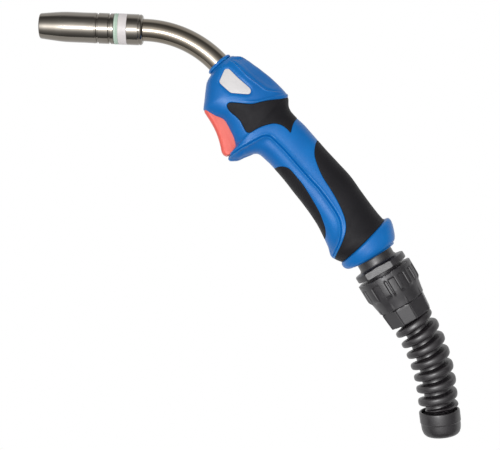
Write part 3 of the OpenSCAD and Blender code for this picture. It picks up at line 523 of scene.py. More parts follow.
# %% [markdown]
# At the very front the handle closes on the neck. The map goes on for three more millimetres there: the
# section shrinks to a circle round the tube and bulges forward a little, which gives the rounded nose.

# %% The map from (along, round) to a point in space
NOSE_R, NOSE_BULGE = 8.5, 0.9


def handle_base(uv):
    u, angle = uv[:, 0], uv[:, 1] / GIRTH_R
    rows = smooth_rows(SECTIONS, np.interp(u, fine_u, fine_s))
    points = section_points(rows, angle)
    t = np.clip(-u / NOSE, 0, 1)[:, None]
    if (t > 0).any():
        first = SECTIONS[0]
        run = first[2:4] - first[0:2]
        run = run / np.linalg.norm(run)
        mid = (first[0:2] + first[2:4]) / 2
        across = NOSE_R * np.cos(angle)
        ring = np.stack([mid[0] - across * run[0], -NOSE_R * np.sin(angle), mid[1] - across * run[1]], 1)
        forward = np.array([-math.cos(math.radians(NECK_SLOPE)), 0, math.sin(math.radians(NECK_SLOPE))])
        bulge = forward * NOSE_BULGE * np.sin(np.minimum(t * 2, 1) * math.pi / 2)
        points = points * (1 - t**1.6) + ring * t**1.6 + bulge
    return points


def handle_normal(uv):
    e = 0.02
    du = handle_base(uv + (e, 0)) - handle_base(uv - (e, 0))
    low = np.stack([uv[:, 0], np.maximum(uv[:, 1] - e, 1e-4)], 1)
    high = np.stack([uv[:, 0], np.minimum(uv[:, 1] + e, GIRTH - 1e-4)], 1)
    normal = np.cross(du, handle_base(high) - handle_base(low))
    normal /= np.linalg.norm(normal, axis=1)[:, None] + 1e-12
    return normal


check = handle_normal(np.array([[LENGTH / 2, GIRTH / 2]]))[0]
OUTWARD = 1.0 if check[1] < 0 else -1.0
print("the middle of the left side faces", (check * OUTWARD).round(2))

# %% [markdown]
# Lines on the handle
#
# Edges of pads and the style lines are easiest to draw in a side view, on a sheet of 500 by 450 units, each
# 0.73 mm. A helper lays such a drawn line on the surface: it looks for the point of the map that appears in
# that spot from the side. The viewer stands 0.76 m away, so the near side looks slightly larger, and the
# helper allows for that.

# %% Drawing units, and a helper that lays a line on the surface
UNIT = 0.73
ORIGIN = (326.0, 189.0)
SHEET_WIDE, SHEET_HIGH, SHEET_AWAY = 500, 450, 1040
VIEW_X, VIEW_Z = (SHEET_WIDE / 2 - ORIGIN[0]) * UNIT, (ORIGIN[1] - SHEET_HIGH / 2) * UNIT
VIEW_D = SHEET_AWAY * UNIT


def seen_from_side(points):
    k = VIEW_D / (VIEW_D + points[:, 1])
    return np.stack([VIEW_X + (points[:, 0] - VIEW_X) * k, VIEW_Z + (points[:, 2] - VIEW_Z) * k], 1)


def straight_from_side(points):
    return points[:, [0, 2]]


def drawn(points):
    p = np.asarray(points, float)
    return np.stack([(p[:, 0] - ORIGIN[0]) * UNIT, (ORIGIN[1] - p[:, 1]) * UNIT], 1)


search_u, search_v = np.meshgrid(np.linspace(0, LENGTH, 300), np.linspace(0.01, 0.99, 90) * GIRTH, indexing="ij")
SEARCH_UV = np.stack([search_u.ravel(), search_v.ravel()], 1)
SEARCH_POINTS = handle_base(SEARCH_UV)


def on_handle(targets, view=seen_from_side):
    seen = view(SEARCH_POINTS)
    uv = np.array([SEARCH_UV[np.argmin(((seen - t) ** 2).sum(1))] for t in targets])
    for _ in range(14):
        here = view(handle_base(uv))
        e = 0.05
        du = (view(handle_base(uv + (e, 0))) - here) / e
        dv = (view(handle_base(uv + (0, e))) - here) / e
        miss = targets - here
        a, b, c = (du * du).sum(1) + 1e-3, (du * dv).sum(1), (dv * dv).sum(1) + 1e-3
        p, q = (du * miss).sum(1), (dv * miss).sum(1)
        det = a * c - b * b
        step = np.stack([(c * p - b * q) / det, (a * q - b * p) / det], 1)
        uv = uv + np.clip(step, -2, 2)
        uv[:, 0] = np.clip(uv[:, 0], 0, LENGTH)
        uv[:, 1] = np.clip(uv[:, 1], 0.02, GIRTH - 0.02)
    return uv


print("search points on the handle:", len(SEARCH_UV))

# %% [markdown]
# A drawn line is a handful of points. A designer would bend a strip of wood through them. Here each stretch
# leaves one point and meets the next in the direction of their neighbours, which gives the same calm curve.

# %% A smooth line through drawn points
def flowing(points, closed=False, step=1.0):
    """A smooth line through drawn points, with a point about every step of its length."""
    p = np.asarray(points, float)
    n = len(p)
    out = []
    for i in range(n if closed else n - 1):
        p0, p1, p2, p3 = [p[(i + k) % n] if closed else p[min(max(i + k, 0), n - 1)] for k in (-1, 0, 1, 2)]
        count = max(int(math.ceil(np.linalg.norm(p2 - p1) / step)), 1)
        m1, m2 = (p2 - p0) / 2, (p3 - p1) / 2
        limit = np.linalg.norm(p2 - p1)
        m1 = m1 * min(1, 1.2 * limit / (np.linalg.norm(m1) + 1e-9))
        m2 = m2 * min(1, 1.2 * limit / (np.linalg.norm(m2) + 1e-9))
        for t in np.arange(count) / count:
            out.append(hermite(p1, p2, m1, m2, t))
    if not closed:
        out.append(p[-1])
    return np.array(out)


def laid(points, closed=False):
    return on_handle(drawn(flowing(points, closed)))


print("a line of 10 units becomes", len(flowing([(0, 0), (10, 0)])), "points")


# %% [markdown]
# The handle has three kinds of line. Pad edges are cuts: they part rubber from nylon. The plate's edge is a cut
# as well. Style lines only bend the surface: a groove that runs from under the trigger down the whole grip, a
# crease that sets off the sloping top of the head, and a raised lip over the saddle pad.

# %% The lines of the handle
SADDLE = [(290, 97.2), (288, 97.8), (280, 98.8), (270, 100), (262, 101.5), (255, 103.3), (250, 103.8), (240, 103),
          (232, 102.4), (229, 102.8), (227.2, 104.6), (227, 106.6), (228, 109.2), (231, 112.8), (236, 116.8),
          (240, 121), (243, 126.6), (245.6, 131.2), (248, 132.6), (251, 132.2), (256, 129.3), (262, 126.4),
          (270, 123.9), (275, 123.4), (280, 124.4), (284, 126.4), (288, 129.6), (290.6, 132.4), (291.6, 130),
          (292.6, 126), (294.5, 121.6), (297, 118.6), (299, 117)]
BACK = [(319, 138.4), (317.2, 141), (315.4, 146), (314.8, 155), (317.6, 165), (323, 177), (330, 188), (336, 198),
        (341, 208), (344.5, 217), (346, 225), (345.5, 232), (343, 240), (340, 247), (337, 253), (335.4, 257),
        (334.6, 261)]
PALM = [(272.6, 168.6), (275.2, 168.6), (278.4, 167.2), (283, 166.8), (288, 168.4), (292, 172), (296, 176.8),
        (302, 184), (308, 193), (314, 203), (319, 212), (322.2, 220), (324.8, 228), (325.4, 234), (324.6, 239),
        (322, 241)]
PLATE = [(227.0, 68.8), (229.4, 69.2), (238, 77.6), (248.6, 86.8), (250.6, 89.4), (250.8, 92), (249, 93.9),
         (245, 94), (233, 93), (230.4, 92.4), (226, 88.8), (220.4, 83.6), (219.4, 81.2), (220.6, 78.2),
         (223.6, 71.4), (225, 69.2)]
GROOVE = [(227, 157.2), (230, 155), (240, 148.5), (250, 143), (258, 138.5), (264, 136), (270, 136.5), (275, 140.5),
          (285, 150.5), (300, 167.5), (310, 179), (320, 190), (330, 203.5), (335, 211), (338.4, 217), (340.6, 224),
          (341, 231), (340, 238), (338, 245), (334.6, 252), (332, 257)]
CREASE = [(227.5, 59.6), (233, 62.5), (240, 69), (248, 77), (256, 83), (262, 87.5), (265.5, 90), (270, 91.4),
          (277, 92.4), (285, 93)]
LIP = [(240, 100.4), (247, 101.4), (257, 101.6), (268, 98.6), (278, 96.8), (287.5, 95.2)]

saddle_uv, back_uv, palm_uv = laid(SADDLE), laid(BACK), laid(PALM)
plate_uv = laid(PLATE, closed=True)
groove_uv, crease_uv, lip_uv = laid(GROOVE), laid(CREASE), laid(LIP)
for line in (saddle_uv, back_uv):
    line[0, 1] = GIRTH + 1
saddle_uv[-1, 1] = GIRTH + 1
back_uv[-1, 1] = -1
palm_uv[[0, -1], 1] = -1
print("points on lines:", [len(line) for line in (saddle_uv, back_uv, palm_uv, plate_uv, groove_uv)])

# %% [markdown]
# The trigger comes out of a slot in the belly. In the map the slot is a notch in the lower edge: as far round
# as the trigger is wide, from above its pivot to the finger rest below it.

# %% The outline of the map, with the trigger's slot
SLOT_HALF, SLOT_CORNER = 8.0, 2.5
slot_s = np.linspace(5.14, 11.95, 70)
slot_rows = smooth_rows(SECTIONS, slot_s)
share = np.clip(SLOT_HALF / slot_rows[:, 4], 0, 0.999)
slot_c = (1 - share ** slot_rows[:, 5]) ** (1 / slot_rows[:, 5])
slot_v = GIRTH_R * np.arctan2(share, slot_c)
slot_u = np.interp(slot_s, fine_s, fine_u)
to_end = np.minimum(slot_u - slot_u[0], slot_u[-1] - slot_u)
corner = np.minimum(1, np.sqrt(np.clip(1 - (1 - to_end / SLOT_CORNER).clip(0) ** 2, 0, 1)))
slot_line = np.stack([slot_u, slot_v * (0.55 + 0.45 * corner)], 1)


def straight_line(a, b, step=1.0):
    count = max(int(np.linalg.norm(np.subtract(b, a)) / step), 1)
    return [np.add(a, np.subtract(b, a) * k / count) for k in range(count)]


outline = straight_line((-NOSE, 0), (slot_u[0], 0)) + [np.array((slot_u[0], 0.0))] + list(slot_line)
outline += straight_line((slot_u[-1], 0), (LENGTH, 0)) + straight_line((LENGTH, 0), (LENGTH, GIRTH))
outline += straight_line((LENGTH, GIRTH), (-NOSE, GIRTH)) + straight_line((-NOSE, GIRTH), (-NOSE, 0))
OUTLINE = np.array(outline)
print("outline of", len(OUTLINE), "points; slot from", slot_u[0].round(1), "to", slot_u[-1].round(1), "mm")

# %% [markdown]
# How far a point is from a line decides how much the line bends the surface there. The nearest point of a
# finely sampled line is found with a search tree, then the two short pieces next to it give the exact distance
# and the side on which the point lies.

# %% Distance from points to a line on the surface
def search_tree(points):
    tree = kdtree.KDTree(len(points))
    for i, p in enumerate(points):
        tree.insert(p, i)
    tree.balance()
    return tree


def off_pieces(points, a, b):
    """How far each point is from its own straight piece, from a to b."""
    run = b - a
    t = np.clip(((points - a) * run).sum(1) / ((run * run).sum(1) + 1e-12), 0, 1)
    return np.linalg.norm(points - (a + run * t[:, None]), axis=1)


class SurfaceLine:
    def __init__(self, uv, closed=False):
        uv = np.vstack([uv, uv[:1]]) if closed else np.asarray(uv)
        parts = [np.linspace(a, b, max(int(np.linalg.norm(b - a) / 0.3), 1), endpoint=False)
                 for a, b in zip(uv[:-1], uv[1:])]
        self.uv = np.vstack(parts + [uv[-1:]])
        inside = np.stack([self.uv[:, 0], np.clip(self.uv[:, 1], 0, GIRTH)], 1)
        self.points = handle_base(inside)
        self.tree = search_tree(self.points)

    def distance(self, points, uv):
        nearest = np.array([self.tree.find(p)[1] for p in points])
        best = np.full(len(points), 1e9)
        side = np.ones(len(points))
        for lower in (nearest - 1, nearest):
            k = np.clip(lower, 0, len(self.points) - 2)
            d = off_pieces(points, self.points[k], self.points[k + 1])
            flat = self.uv[k + 1] - self.uv[k]
            gap = uv - self.uv[k]
            closer = d < best
            best = np.where(closer, d, best)
            side = np.where(closer, np.sign(flat[:, 0] * gap[:, 1] - flat[:, 1] * gap[:, 0]), side)
        along = nearest / max(len(self.points) - 1, 1)
        return best, side, along


def ease(x, low, high):
    t = np.clip((x - low) / (high - low), 0, 1)
    return t * t * (3 - 2 * t)


groove_line, crease_line, lip_line = SurfaceLine(groove_uv), SurfaceLine(crease_uv), SurfaceLine(lip_uv)
plate_line = SurfaceLine(plate_uv, closed=True)
print("fine points on the groove:", len(groove_line.points))

# %% [markdown]
# The relief of the handle, in millimetres outwards. The groove is a narrow valley with soft shoulders, and the
# finger rest under it is scooped out. Past the crease the head slopes away flat. The lip is a low ridge. Round
# the plate runs a shallow moat that makes the plate look set in.

# %% How the style lines bend the surface
GROOVE_DEEP, GROOVE_WIDE = 0.95, 0.48
BANK_HIGH, BANK_OFF, BANK_WIDE = 0.3, 1.3, 0.6
SCOOP_AT, SCOOP_TURN, SCOOP_DEEP, SCOOP_LONG, SCOOP_WIDE = (249, 149.8), 28, 1.8, 13.0, 3.6
REST_DEEP, HEAD_FALL = 0.45, 0.3
CREASE_HIGH, CREASE_DEEP = 0.32, 0.4
LIP_HIGH, LIP_WIDE = 0.65, 0.9
MOAT_DEEP, MOAT_OFF, MOAT_WIDE = 0.55, 0.4, 0.65


def bell(d, width):
    return np.exp(-((d / width) ** 2))


def groove_relief(points, uv):
    d, side, along = groove_line.distance(points, uv)
    below = side < 0
    ends = ease(along, 0.0, 0.03) * (1 - ease(along, 0.97, 1.0))
    valley = -GROOVE_DEEP * bell(d, GROOVE_WIDE) + BANK_HIGH * bell(d - BANK_OFF, BANK_WIDE)
    lift = valley * (0.25 + 0.75 * ends)
    across = seen_from_side(points) - drawn([SCOOP_AT])[0]
    way = np.array((math.cos(math.radians(SCOOP_TURN)), math.sin(math.radians(SCOOP_TURN))))
    far = (across @ way) / SCOOP_LONG
    wide = (across @ np.array((-way[1], way[0]))) / SCOOP_WIDE
    lift -= np.where(below, SCOOP_DEEP * np.exp(-(far**2 + wide**2)) * ease(d, 0.2, 2.5), 0)
    lift -= np.where(below, REST_DEEP * ease(d, 0.3, 1.6) * (1 - ease(d, 3.0, 9.0)) * ends, 0)
    return lift


def relief(points, uv):
    lift = groove_relief(points, uv)
    d, side, along = crease_line.distance(points, uv)
    fade = (1 - ease(along, 0.72, 1.0)) * ease(along, 0.0, 0.05)
    above = side > 0
    slope = np.where(above, -HEAD_FALL * np.minimum(d, 6.5) * (1 - ease(d, 9.0, 17.0)), 0)
    lift += (slope + CREASE_HIGH * bell(d, 0.5) - np.where(above, CREASE_DEEP * bell(d - 1.1, 0.55), 0)) * fade
    d, _, along = lip_line.distance(points, uv)
    lift += LIP_HIGH * bell(d, LIP_WIDE) * ease(along, 0.0, 0.25)
    d = plate_line.distance(points, uv)[0]
    return lift - MOAT_DEEP * bell(d - MOAT_OFF, MOAT_WIDE)


print("relief at the groove's middle:",
      relief(groove_line.points[200:201], groove_line.uv[200:201]).round(2), "mm")

# %% [markdown]
# Cutting the map into pieces
#
# Shell, pads and plate share their edges, as in the mould. One triangulation of the whole map, with the edges
# as fixed lines, gives all of them at once: each triangle belongs to the outline that holds its middle. Near
# the edges extra rings of points are added, because there each piece rolls over into the gap with a small
# radius. Then each piece gets its thickness inwards.

# %% Inside an outline, and sideways from a line
RINGS = (0.05, 0.14, 0.3, 0.52, 0.8)
BEND_ROWS = (-1.9, -1.3, -0.85, -0.5, -0.25, 0.0, 0.25, 0.5, 0.85, 1.3, 1.9)
SPACING, CLEAR = 1.15, 0.55


def inside(points, outline_points):
    x, y = points[:, 0][:, None], points[:, 1][:, None]
    a, b = np.asarray(outline_points), np.roll(outline_points, -1, axis=0)
    cross = ((a[:, 1] > y) != (b[:, 1] > y))
    with np.errstate(divide="ignore", invalid="ignore"):
        at = (b[:, 0] - a[:, 0]) * (y - a[:, 1]) / (b[:, 1] - a[:, 1]) + a[:, 0]
    return (cross & (x < at)).sum(1) % 2 == 1


def sides_of(line, closed):
    way = np.gradient(line, axis=0) if not closed else np.roll(line, -1, 0) - np.roll(line, 1, 0)
    way /= np.linalg.norm(way, axis=1)[:, None] + 1e-9
    return np.stack([-way[:, 1], way[:, 0]], 1)


print(2 * len(RINGS), "extra rows of points beside each edge")

# %% Triangulate one half of the handle
def half_triangles(cuts, bends, holes):
    fixed, edges, near = [], [], []

    def add_line(line, closed):
        start = len(fixed)
        fixed.extend(line.tolist())
        last = len(line) if closed else len(line) - 1
        edges.extend((start + i, start + (i + 1) % len(line)) for i in range(last))
        out = sides_of(line, closed)
        for offset in RINGS:
            near.extend((line + out * offset).tolist() + (line - out * offset).tolist())

    add_line(OUTLINE, True)
    for line in cuts:
        add_line(line, False)
    for line in holes:
        add_line(line, True)
    for line in bends:
        out = sides_of(line, False)
        for offset in BEND_ROWS:
            near.extend((line + out * offset).tolist())
    rows = np.arange(-NOSE + 0.5, LENGTH, SPACING * 0.87)
    plain = []
    for i, u in enumerate(rows):
        v = np.arange(0.4 + (i % 2) * SPACING / 2, GIRTH, SPACING)
        plain.extend(np.stack([np.full(len(v), u), v], 1).tolist())
    near, plain = np.array(near), np.array(plain)
    tree = search_tree([(p[0], p[1], 0) for p in np.vstack([near, fixed])])
    plain = np.array([p for p in plain if tree.find((p[0], p[1], 0))[2] > CLEAR])
    everything = np.vstack([fixed, near, plain])
    keep = (everything[:, 0] >= -NOSE - 0.01) & (everything[:, 0] <= LENGTH + 0.01)
    keep &= (everything[:, 1] >= 0) & (everything[:, 1] <= GIRTH)
    keep[:len(fixed)] = True
    everything = everything[keep]
    found = delaunay_2d_cdt([Vector(p) for p in everything], edges, [], 0, 0.004)
    uv = np.array([tuple(v) for v in found[0]])
    triangles = np.array([f for f in found[2] if len(f) == 3])
    middles = uv[triangles].mean(1)
    in_map = inside(middles, OUTLINE)
    for hole in holes:
        in_map &= ~inside(middles, hole)
    return uv, triangles[in_map], middles[in_map]


print("plain points stand", SPACING, "apart")

# %% [markdown]
# The two halves differ in one thing: five screws go into the right one. Their holes are drawn as circles in the
# straight side view, where the screws run, and are left out of that half's triangles.

# %% Both halves, with the screw holes
SCREWS = [(-50.5, 82.0), (-81.4, 71.5), (-51.1, 31.3), (-10.9, 21.2), (2.2, -19.7)]
WELL_R = 2.9


def screw_hole(place):
    a = round_angles(40)
    ring = np.stack([place[0] + WELL_R * np.cos(a), place[1] + WELL_R * np.sin(a)], 1)
    return on_handle(ring, straight_from_side)


screw_holes = [screw_hole(place) for place in SCREWS]
CUTS = [saddle_uv, back_uv, palm_uv, np.vstack([plate_uv, plate_uv[:1]])]
BENDS = [groove_uv, crease_uv, lip_uv]
AREAS = {"saddle": saddle_uv, "palm": palm_uv, "plate": plate_uv,
         "back": np.vstack([back_uv, [(LENGTH + 1, -1), (LENGTH + 1, GIRTH + 1)]])}
halves = {"left": half_triangles(CUTS, BENDS, []), "right": half_triangles(CUTS, BENDS, screw_holes)}
print({side: len(half[1]) for side, half in halves.items()}, "triangles")

# %% [markdown]
# Each piece rolls over at its edge on a small radius and stands a little proud or deep: the plate is a hair
# above the shell, the pads are all but level with it. The drop at the edge is that of a quarter circle.

# %% What each area is made like
AREA_MAKE = {
    # how far it stands out, the roll at its edge, its thickness, its finish, the frame node
    "shell": (0.0, 0.65, 1.9, "blue_plastic", "shell_{}"),
    "saddle": (0.05, 0.55, 1.15, "grip_rubber", "saddle_pad_{}"),
    "back": (0.05, 0.55, 1.15, "grip_rubber", "back_pad_{}"),
    "palm": (0.05, 0.55, 1.15, "grip_rubber", "palm_pad_{}"),
    "plate": (0.1, 0.4, 0.45, "plate_plastic", "label_plate_{}")}
SEAM_GAP, SEAM_DROP = 0.03, 0.22
print(len(AREA_MAKE), "areas on each half")

# %% The edge of an area, and its thickness
def edge_lines(triangles):
    count = {}
    for tri in triangles:
        for a, b in ((tri[0], tri[1]), (tri[1], tri[2]), (tri[2], tri[0])):
            count[(min(a, b), max(a, b))] = count.get((min(a, b), max(a, b)), 0) + 1
    return np.array([pair for pair, n in count.items() if n == 1])


def distance_to_edge(points, edge_points):
    a, b = edge_points[:, 0], edge_points[:, 1]
    samples = np.vstack([a + (b - a) * t for t in (0.0, 0.25, 0.5, 0.75)])
    owner = np.tile(np.arange(len(a)), 4)
    tree = search_tree(samples)
    best = np.full(len(points), 1e9)
    hits = [[owner[h[1]] for h in tree.find_n(p, 3)] for p in points]
    for k in range(3):
        own = np.array([h[k] for h in hits])
        best = np.minimum(best, off_pieces(points, a[own], b[own]))
    return best


def with_thickness(points, triangles, normals, thickness):
    """Closes a skin to a solid: the same faces again further in, and a wall along the edge."""
    n = len(points)
    inner = points - normals * thickness
    faces = [tuple(t) for t in triangles] + [tuple(int(v) + n for v in t[::-1]) for t in triangles]
    directed = {}
    for t in triangles:
        for a, b in ((t[0], t[1]), (t[1], t[2]), (t[2], t[0])):
            directed[(int(a), int(b))] = True
    for (a, b) in directed:
        if (b, a) not in directed:
            faces.append((b, a, a + n, b + n))
    return np.vstack([points, inner]), faces


print("edges of one lone triangle:", len(edge_lines([(0, 1, 2)])))

# %% Make the shells, the pads and the plates
def make_half(side):
    uv, triangles, middles = halves[side]
    base, normals = handle_base(uv), handle_normal(uv) * OUTWARD
    normals[uv[:, 1] < 0.05, 1] = 0
    normals[uv[:, 1] > GIRTH - 0.05, 1] = 0
    normals /= np.linalg.norm(normals, axis=1)[:, None]
    lift = relief(base, uv)
    owner = np.full(len(triangles), "shell", dtype=object)
    for area, line in AREAS.items():
        owner[inside(middles, line)] = area
    for area, (stand, r, thick, slot, node) in AREA_MAKE.items():
        mine = triangles[owner == area]
        used, new = np.unique(mine, return_inverse=True)
        mine = new.reshape(-1, 3)
        p, n, up = base[used], normals[used], lift[used].copy()
        edge = edge_lines(mine)
        d = distance_to_edge(p, p[edge])
        if area != "shell":
            up *= ease(d, 0.0, 3.0) if area != "plate" else 0
        drop = np.where(d < r, r - np.sqrt(np.clip(r * r - (r - d) ** 2, 0, None)), 0)
        on_seam = np.minimum(uv[used, 1], GIRTH - uv[used, 1]) < d + 0.02
        drop = np.where(on_seam, np.minimum(drop, SEAM_DROP), drop)
        out = p + n * (up + stand - drop)[:, None]
        out[:, 1] = np.minimum(out[:, 1], -SEAM_GAP)
        solid, faces = with_thickness(out, mine, n, thick)
        solid[:, 1] = np.minimum(solid[:, 1], -SEAM_GAP)
        if side == "right":
            solid[:, 1] *= -1
            faces = [f[::-1] for f in faces]
        add_piece(f"{area}_{side}_moulded", solid, faces, "handle", slot, [node.format(side)])


for side in halves:
    uv, triangles, middles = halves[side]
    p = handle_base(uv)
    t = triangles[len(triangles) // 2]
    facing = np.cross(p[t[1]] - p[t[0]], p[t[2]] - p[t[0]])
    out = handle_normal(uv[t[:1]])[0] * OUTWARD
    if facing.dot(out) < 0:
        halves[side] = (uv, triangles[:, ::-1], middles)
    make_half(side)

# %% [markdown]
# The screws go in from the right, so that half has five round wells. Each well is a short tube from the
# surface down to a floor, on which the screw's head sits.

# %% Screw wells
WELL_SUNK, WELL_FLOOR, SCREW_HOLE_R = 0.5, 7.0, 1.6


def make_wells():
    points, faces = [], []
    for place, hole in zip(SCREWS, screw_holes):
        top = handle_base(hole) - handle_normal(hole) * OUTWARD * WELL_SUNK
        count, start = len(top), len(points)
        points += [(x, -y, z) for x, y, z in top]
        a = np.arctan2(top[:, 2] - place[1], top[:, 0] - place[0])
        for radius in (WELL_R, SCREW_HOLE_R):
            points += [(place[0] + radius * math.cos(v), WELL_FLOOR, place[1] + radius * math.sin(v))
                       for v in a]
        faces += [tuple(start + v for v in f) for f in grid_faces(3, count)]
    return points, faces


points, faces = make_wells()
add_piece("screw_wells_moulded", points, faces, "handle", "blue_plastic")

# %% [markdown]
# Nose ring, trigger and rear collar
#
# A round nut-like ring closes the handle on the neck. The trigger is a hook-shaped bar: flat at the sides,
# crowned and slightly hollow where the finger lies. The rear collar is a slanted band that swells out over
# the grip, so the hand doesn't slip, and closes round the ball joint.

# %% Nose ring
AT_NOSE_RING = AT_ROOT @ shift(z=-3.4) @ turn(4, "Y")
add_turned("nose_ring_moulded", [
    (8.2, -1.3), (9.2, -1.3), (9.4, -0.85), (9.85, -0.75), (10.0, -0.4), (10.0, 0.35), (9.85, 0.7), (9.4, 0.85),
    (9.2, 1.25), (8.2, 1.3)], AT_NOSE_RING, "handle", "blue_plastic", ["nose_ring"], 0.15)

# %% Trigger
TRIGGER_HALF, TRIGGER_EDGE_R, TRIGGER_CROWN = 7.5, 2.6, 0.35
FINGER_SIDE = [(204.6, 111.2), (204.6, 112.8), (207, 116.4), (212, 124.4), (216, 132.4), (218.8, 140.2),
               (220.4, 146.4), (221.6, 152), (223.4, 155), (226.2, 156.4), (228.6, 155.2), (230.4, 152.8)]
REAR_SIDE = [(31.6, 3.4), (31.2, TRIGGER_BACK - 0.2), (22, TRIGGER_BACK), (12, TRIGGER_BACK), (3, TRIGGER_BACK),
             (-1.5, 4.6), (-3.4, 2.8), (-4.2, 0.2), (-4.0, -2.4)]
ACROSS = (7.5, 7.44, 7.25, 6.9, 6.4, 5.7, 4.6, 3.0, 1.2)
finger = drawn(flowing(FINGER_SIDE, step=1.2))
INTO_HANDLE = np.array((math.sin(math.radians(TRIGGER_SLOPE)), math.cos(math.radians(TRIGGER_SLOPE))))
DOWN_TRIGGER = np.array((math.cos(math.radians(TRIGGER_SLOPE)), -math.sin(math.radians(TRIGGER_SLOPE))))
rear = [np.array(TRIGGER_PIVOT) + DOWN_TRIGGER * x + INTO_HANDLE * y for x, y in REAR_SIDE]
loop = np.vstack([finger, rear])
roll_in = np.concatenate([np.ones(len(finger)), (0.6, 0, 0), np.zeros(len(rear) - 6), np.linspace(0, 0.6, 3)])
rows = []
for y in [-y for y in ACROSS] + [0.0] + list(ACROSS[::-1]):
    over = max(abs(y) - (TRIGGER_HALF - TRIGGER_EDGE_R), 0)
    inset = TRIGGER_EDGE_R - math.sqrt(max(TRIGGER_EDGE_R**2 - over**2, 0))
    crown = TRIGGER_CROWN * (y / TRIGGER_HALF) ** 2
    moved = loop + INTO_HANDLE * (roll_in * (inset + crown))[:, None]
    rows.append(np.stack([moved[:, 0], np.full(len(loop), y), moved[:, 1]], 1))
count = len(loop)
faces = [f[::-1] for f in grid_faces(len(rows), count)]
faces += [tuple(range(count)), tuple(range((len(rows) - 1) * count, len(rows) * count))[::-1]]
add_piece("trigger_moulded", np.vstack(rows), faces, "trigger", "coral_plastic", ["trigger"])

# %% [markdown]
# The trigger turns on a ground steel pin that is pressed into both shells. It could run right through them, but
# then its ends would show as bright dots. So it stops just under the skin on either side.

# %% Trigger pin
PIN_R, PIN_HALF = 1.5, 10.6
add_turned("trigger_pin_ground", [(0.05, -PIN_HALF), (PIN_R, -PIN_HALF), (PIN_R, PIN_HALF), (0.05, PIN_HALF)],
           AT_TRIGGER, "handle", "spring_steel", ["trigger_pin"], 0.2, 32)

# %% Rear collar
COLLAR_SECTIONS = np.array([
    (11.3, -53.3, 42.4, -21.9, 20.8, 2.1), (11.9, -55.6, 45.2, -21.1, 21.5, 2.1),
    (14.0, -57.9, 47.4, -23.2, 21.6, 2.1), (16.3, -58.4, 49.3, -29.2, 21.6, 2.1),
    (18.2, -58.0, 50.9, -36.6, 20.9, 2.1)])
COLLAR_ANGLES = round_angles(160)


def collar_row(t, inset):
    row = np.repeat(smooth_rows(COLLAR_SECTIONS, np.array([t])), len(COLLAR_ANGLES), 0)
    return section_points(row, COLLAR_ANGLES, inset)


def collar_circle(radius, z):
    near = placed(AT_BALL.inverted(), collar_row(4.0, 0.0))
    a = np.arctan2(near[:, 1], near[:, 0])
    return placed(AT_BALL, np.stack([radius * np.cos(a), radius * np.sin(a), np.full(len(a), z)], 1))


COLLAR_SKIN = [(0.05, 4.5), (0.0, 2.4), (0.02, 1.2), (0.1, 0.62), (0.22, 0.3), (0.4, 0.05), (0.7, -0.12),
               (1.0, -0.12), (1.5, -0.05), (2.0, 0.0), (2.5, 0.02), (3.0, 0.1), (3.4, 0.25), (3.65, 0.5),
               (3.85, 0.95), (3.96, 1.6), (4.0, 2.4)]
COLLAR_OPENING = 16.4
COLLAR_MOUTH = [(17.2, 8.35), (COLLAR_OPENING + 0.25, 8.35), (COLLAR_OPENING, 8.1), (COLLAR_OPENING, 5.4),
                (18.5, 5.4), (18.5, 0.5)]
rows = [collar_row(*at) for at in COLLAR_SKIN] + [collar_circle(*at) for at in COLLAR_MOUTH]
points = np.vstack(rows)
faces = [f[::-1] for f in grid_faces(len(rows), len(COLLAR_ANGLES), close_rows=True)]
add_piece("rear_collar_moulded", points, faces, "handle", "blue_plastic", ["rear_collar"])

# %% [markdown]
# The swivel: stem and flange
#
# Behind the collar a ball lets the cable swing. Its stem is a plain tube that flares into a flange, and the
# flange has a flat on either side for a spanner. The whole is spun first; the flats are then pressed in by
# holding back every point that stands out too far.

# %% Ball, stem and flange
FLAT_AT, FLAT_TURN = 16.7, math.radians(13)
BALL_R, STEM_R = 16.5, 13.9
stem_profile = [(12.0, -10.4), (13.3, -9.5)]
for a in range(-34, 33, 4):
    stem_profile.append((BALL_R * math.cos(math.radians(a)), BALL_R * math.sin(math.radians(a))))
stem_profile += [(STEM_R, 9.2), (STEM_R, 13.0), (14.2, 14.2), (15.0, 15.2), (16.8, 15.8), (19.2, 16.1),
                 (19.6, 16.4), (19.7, 17.0), (19.7, 20.3), (19.5, 20.7), (18.9, 20.8), (15.2, 20.8),
                 (STEM_R, 21.1), (STEM_R, 46.9),
                 (8.6, 47.1), (8.5, 46.8), (8.5, -4.5)]
points, faces = spun(softened(stem_profile, 0.25), 240)
points = np.array(points)
flange = (points[:, 2] > 15.5) & (points[:, 2] < 21)
across = points[:, 0] * math.cos(FLAT_TURN) + points[:, 1] * math.sin(FLAT_TURN)
outwards = -points[:, 0] * math.sin(FLAT_TURN) + points[:, 1] * math.cos(FLAT_TURN)
outwards = np.where(flange, np.clip(outwards, -FLAT_AT, FLAT_AT), outwards)
points[:, 0] = across * math.cos(FLAT_TURN) - outwards * math.sin(FLAT_TURN)
points[:, 1] = across * math.sin(FLAT_TURN) + outwards * math.cos(FLAT_TURN)
add_piece("ball_stem_moulded", placed(AT_BALL, points), faces, "knuckle", "hard_black",
          ["ball_stem"])

# %% [markdown]
# The cable nut
#
# The nut clamps the guard to the stem and is turned by hand. From the top it has a smooth rim, a drum with grip
# bars of several widths between dark slots, a cone, and at the bottom eight flat panels with a fine ridge where
# two of them meet. Modelling each bar as a box would leave seams. Here the nut is one spun body whose radius is
# pushed in and out: columns of points sit right on the edges of the bars, so the walls are steep and clean.

